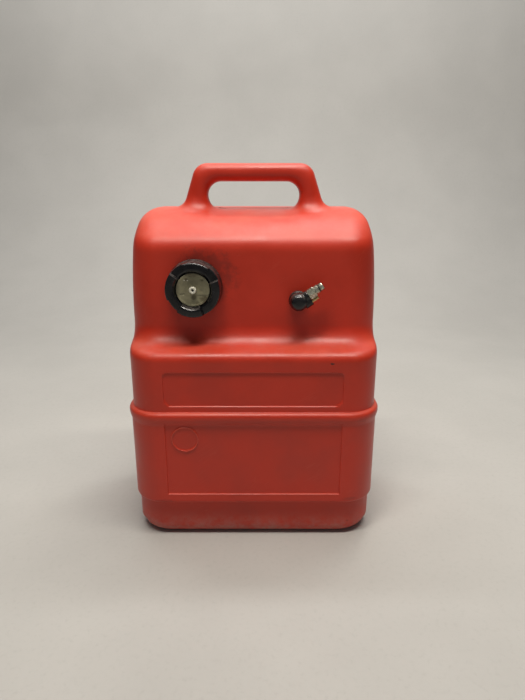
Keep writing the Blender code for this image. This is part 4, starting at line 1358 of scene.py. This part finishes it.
def finish_floor(stage):
    material, tree, shader = new_material("floor plaster", 0.75)
    place = node(tree, "ShaderNodeTexCoord").outputs["Object"]
    slow = noise(tree, place, 3.0, 4.0, 0.6)
    fine = noise(tree, place, 140.0, 4.0, 0.7)
    low = tuple(c * 0.93 for c in stage.floor)
    colour = mixed(tree, remap(tree, slow, 0.3, 0.7), low, tuple(stage.floor))
    colour = mixed(tree, remap(tree, fine, 0.52, 0.75, 0.0, 0.25), colour,
                   tuple(c * 0.72 for c in stage.floor))
    wire_up(tree, shader, colour, remap(tree, fine, 0.3, 0.7, 0.68, 0.82))
    bump(tree, shader, fine, 0.15, 0.001)
    return material


def add_lamp(name, size, power, place, target, colour=(1, 1, 1)):
    lamp = bpy.data.lights.new(name, "AREA")
    lamp.shape = "RECTANGLE"
    lamp.size, lamp.size_y = size
    lamp.energy = power
    lamp.color = colour
    item = new_object(name, lamp)
    item.location = place
    item.rotation_euler = (Vector(target) - Vector(place)).to_track_quat("-Z", "Y").to_euler()


# ------------------------------------------------------------- operators
def dress(item, body, slot, *nodes):
    """Give a finished piece its finish, its body and the CAD nodes that it stands for."""
    item.data.materials.clear()
    item.data.materials.append(bpy.data.materials[slot.replace("_", " ")])
    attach(item, body)
    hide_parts(*nodes)


class FUELTANK_OT_finishes(bpy.types.Operator):
    """Make the shared effects and every finish"""
    bl_idname = "fueltank.finishes"
    bl_label = "Finishes"

    def execute(self, context):
        finish = context.scene.fuel_tank_finish
        for make in GROUP_MAKERS.values():
            make()
        for make in (finish_skin, finish_disc):
            make(finish)
        for name, values in MOULDED.items():
            finish_moulded(name, **values)
        finish_gauze()
        for values in METALS.values():
            finish_metal(*values)
        return {"FINISHED"}


class FUELTANK_OT_skin(bpy.types.Operator):
    """Mould the tank with its handle, panels, threaded neck and outlet hole"""
    bl_idname = "fueltank.skin"
    bl_label = "Tank Skin"

    def execute(self, context):
        skin = make_skin(context.scene.fuel_tank_sizes)
        dress(skin, "tank", "red_polyethylene", "tank_shell")
        return {"FINISHED"}


class FUELTANK_OT_cap(bpy.types.Operator):
    """Make the screw cap with its lobed rim and its internal thread"""
    bl_idname = "fueltank.cap"
    bl_label = "Screw Cap"

    def execute(self, context):
        cap = make_cap_grip(context.scene.fuel_tank_sizes)
        dress(cap, "cap", "black_nylon", "cap_shell")
        return {"FINISHED"}


class FUELTANK_OT_cap_face(bpy.types.Operator):
    """Make the disc in the cap's face and the vent nipple through it"""
    bl_idname = "fueltank.cap_face"
    bl_label = "Cap Face"

    def execute(self, context):
        dress(make_disc(), "cap", "olive_disc", "cap_disc")
        dress(make_vent_nipple(), "cap", "pale_nylon", "vent_stem")
        return {"FINISHED"}


class FUELTANK_OT_outlet(bpy.types.Operator):
    """Make the swivel ring and the moulded elbow"""
    bl_idname = "fueltank.outlet"
    bl_label = "Outlet Elbow"

    def execute(self, context):
        dress(make_swivel_ring(), "tank", "black_nylon", "swivel_nut")
        dress(make_elbow(), "outlet", "black_nylon", "elbow")
        return {"FINISHED"}


class FUELTANK_OT_connector(bpy.types.Operator):
    """Make the steel hose connector and the brass locating pin"""
    bl_idname = "fueltank.connector"
    bl_label = "Hose Connector"

    def execute(self, context):
        dress(make_connector(), "outlet", "plated_steel", "connector_nipple")
        dress(make_pin(), "outlet", "brass", "guide_pin")
        return {"FINISHED"}


class FUELTANK_OT_inner_parts(bpy.types.Operator):
    """Give the seals, springs, valves and pickup their finishes"""
    bl_idname = "fueltank.inner_parts"
    bl_label = "Inner Parts"

    def execute(self, context):
        for name, item in frame["nodes"].items():
            slot = NODE_SLOTS.get(name)
            if slot:
                item.data.materials.clear()
                item.data.materials.append(bpy.data.materials[slot.replace("_", " ")])
        return {"FINISHED"}


NODE_SLOTS = {
    "cap_gasket": "black_rubber", "vent_poppet": "black_rubber", "vent_spring": "spring_steel",
    "vent_cage": "black_nylon", "pickup_gasket": "black_rubber",
    "pickup_bushing": "black_nylon", "elbow_o_ring": "black_rubber",
    "connector_seal": "black_rubber", "check_seat": "brass", "check_plunger": "brass",
    "check_spring": "spring_steel", "pickup_tube": "black_nylon", "tube_clamp": "spring_steel",
    "strainer_body": "black_nylon", "strainer_mesh": "brass_gauze",
}


class FUELTANK_OT_stage(bpy.types.Operator):
    """Set out the floor, the lamps and the camera"""
    bl_idname = "fueltank.stage"
    bl_label = "Stage"

    def execute(self, context):
        stage = context.scene.fuel_tank_stage
        floor = new_object("floor", floor_mesh())
        floor.data.materials.append(finish_floor(stage))
        floor.data.shade_smooth()
        aim = (0, 0, 0.25)
        add_lamp("front strip", (1.6, 0.14), stage.lamp_power, (0.10, -0.48, 1.9), aim,
                 (1.0, 0.95, 0.87))
        add_lamp("rear strip", (1.6, 0.14), stage.lamp_power * 0.5, (0.10, -0.06, 1.9), aim,
                 (1.0, 0.95, 0.87))
        add_lamp("front fill", (1.8, 1.4), stage.fill_power, (0.2, -2.2, 1.1), aim,
                 (0.98, 0.99, 1.0))
        add_lamp("backdrop wash", (2.6, 0.3), stage.wash_power, (0, 0.75, 2.5), (0, 1.9, 0.8))
        add_lamp("back fill", (1.8, 1.4), stage.fill_power * 2, (-0.2, 1.75, 1.2), aim)
        world = bpy.data.worlds.new("soft room")
        context.scene.world = world
        world.use_nodes = True
        sky = world.node_tree.nodes["Background"]
        sky.inputs["Color"].default_value = (0.93, 0.95, 1.0, 1.0)
        sky.inputs["Strength"].default_value = stage.sky
        lens = bpy.data.cameras.new("front view")
        lens.lens = stage.focal_length
        lens.sensor_width = 36.0
        lens.sensor_fit = "AUTO"
        camera = new_object("front view", lens)
        camera.location = (stage.eye_aside, FRONT_Y - stage.eye_distance, stage.eye_height)
        camera.rotation_euler = (math.pi / 2 - stage.eye_tilt, 0, 0)
        context.scene.camera = camera
        context.scene.view_settings.view_transform = "Standard"
        return {"FINISHED"}


STEPS = (FUELTANK_OT_finishes, FUELTANK_OT_skin, FUELTANK_OT_cap, FUELTANK_OT_cap_face,
         FUELTANK_OT_outlet, FUELTANK_OT_connector, FUELTANK_OT_inner_parts, FUELTANK_OT_stage)


class FUELTANK_PT_sidebar(bpy.types.Panel):
    """Builds the fuel tank piece by piece"""
    bl_label = "Fuel Tank"
    bl_idname = "FUELTANK_PT_sidebar"
    bl_space_type = "VIEW_3D"
    bl_region_type = "UI"
    bl_category = "Fuel Tank"

    def draw(self, context):
        layout = self.layout
        for settings in (context.scene.fuel_tank_sizes, context.scene.fuel_tank_finish,
                         context.scene.fuel_tank_stage):
            box = layout.box()
            for name in settings.bl_rna.properties.keys():
                if name not in ("rna_type", "name"):
                    box.prop(settings, name)
        for step in STEPS:
            layout.operator(step.bl_idname)


GROUPS = {"fuel_tank_sizes": FuelTankSizes, "fuel_tank_finish": FuelTankFinish,
          "fuel_tank_stage": FuelTankStage}


def register():
    for item in (*GROUPS.values(), *STEPS, FUELTANK_PT_sidebar):
        bpy.utils.register_class(item)
    for name, kind in GROUPS.items():
        setattr(bpy.types.Scene, name, PointerProperty(type=kind))


def unregister():
    for name in GROUPS:
        delattr(bpy.types.Scene, name)
    for item in reversed((*GROUPS.values(), *STEPS, FUELTANK_PT_sidebar)):
        bpy.utils.unregister_class(item)


def main():
    register()
    for step in STEPS:
        family, action = step.bl_idname.split(".")
        getattr(getattr(bpy.ops, family), action)()


if __name__ == "__main__":
    main()
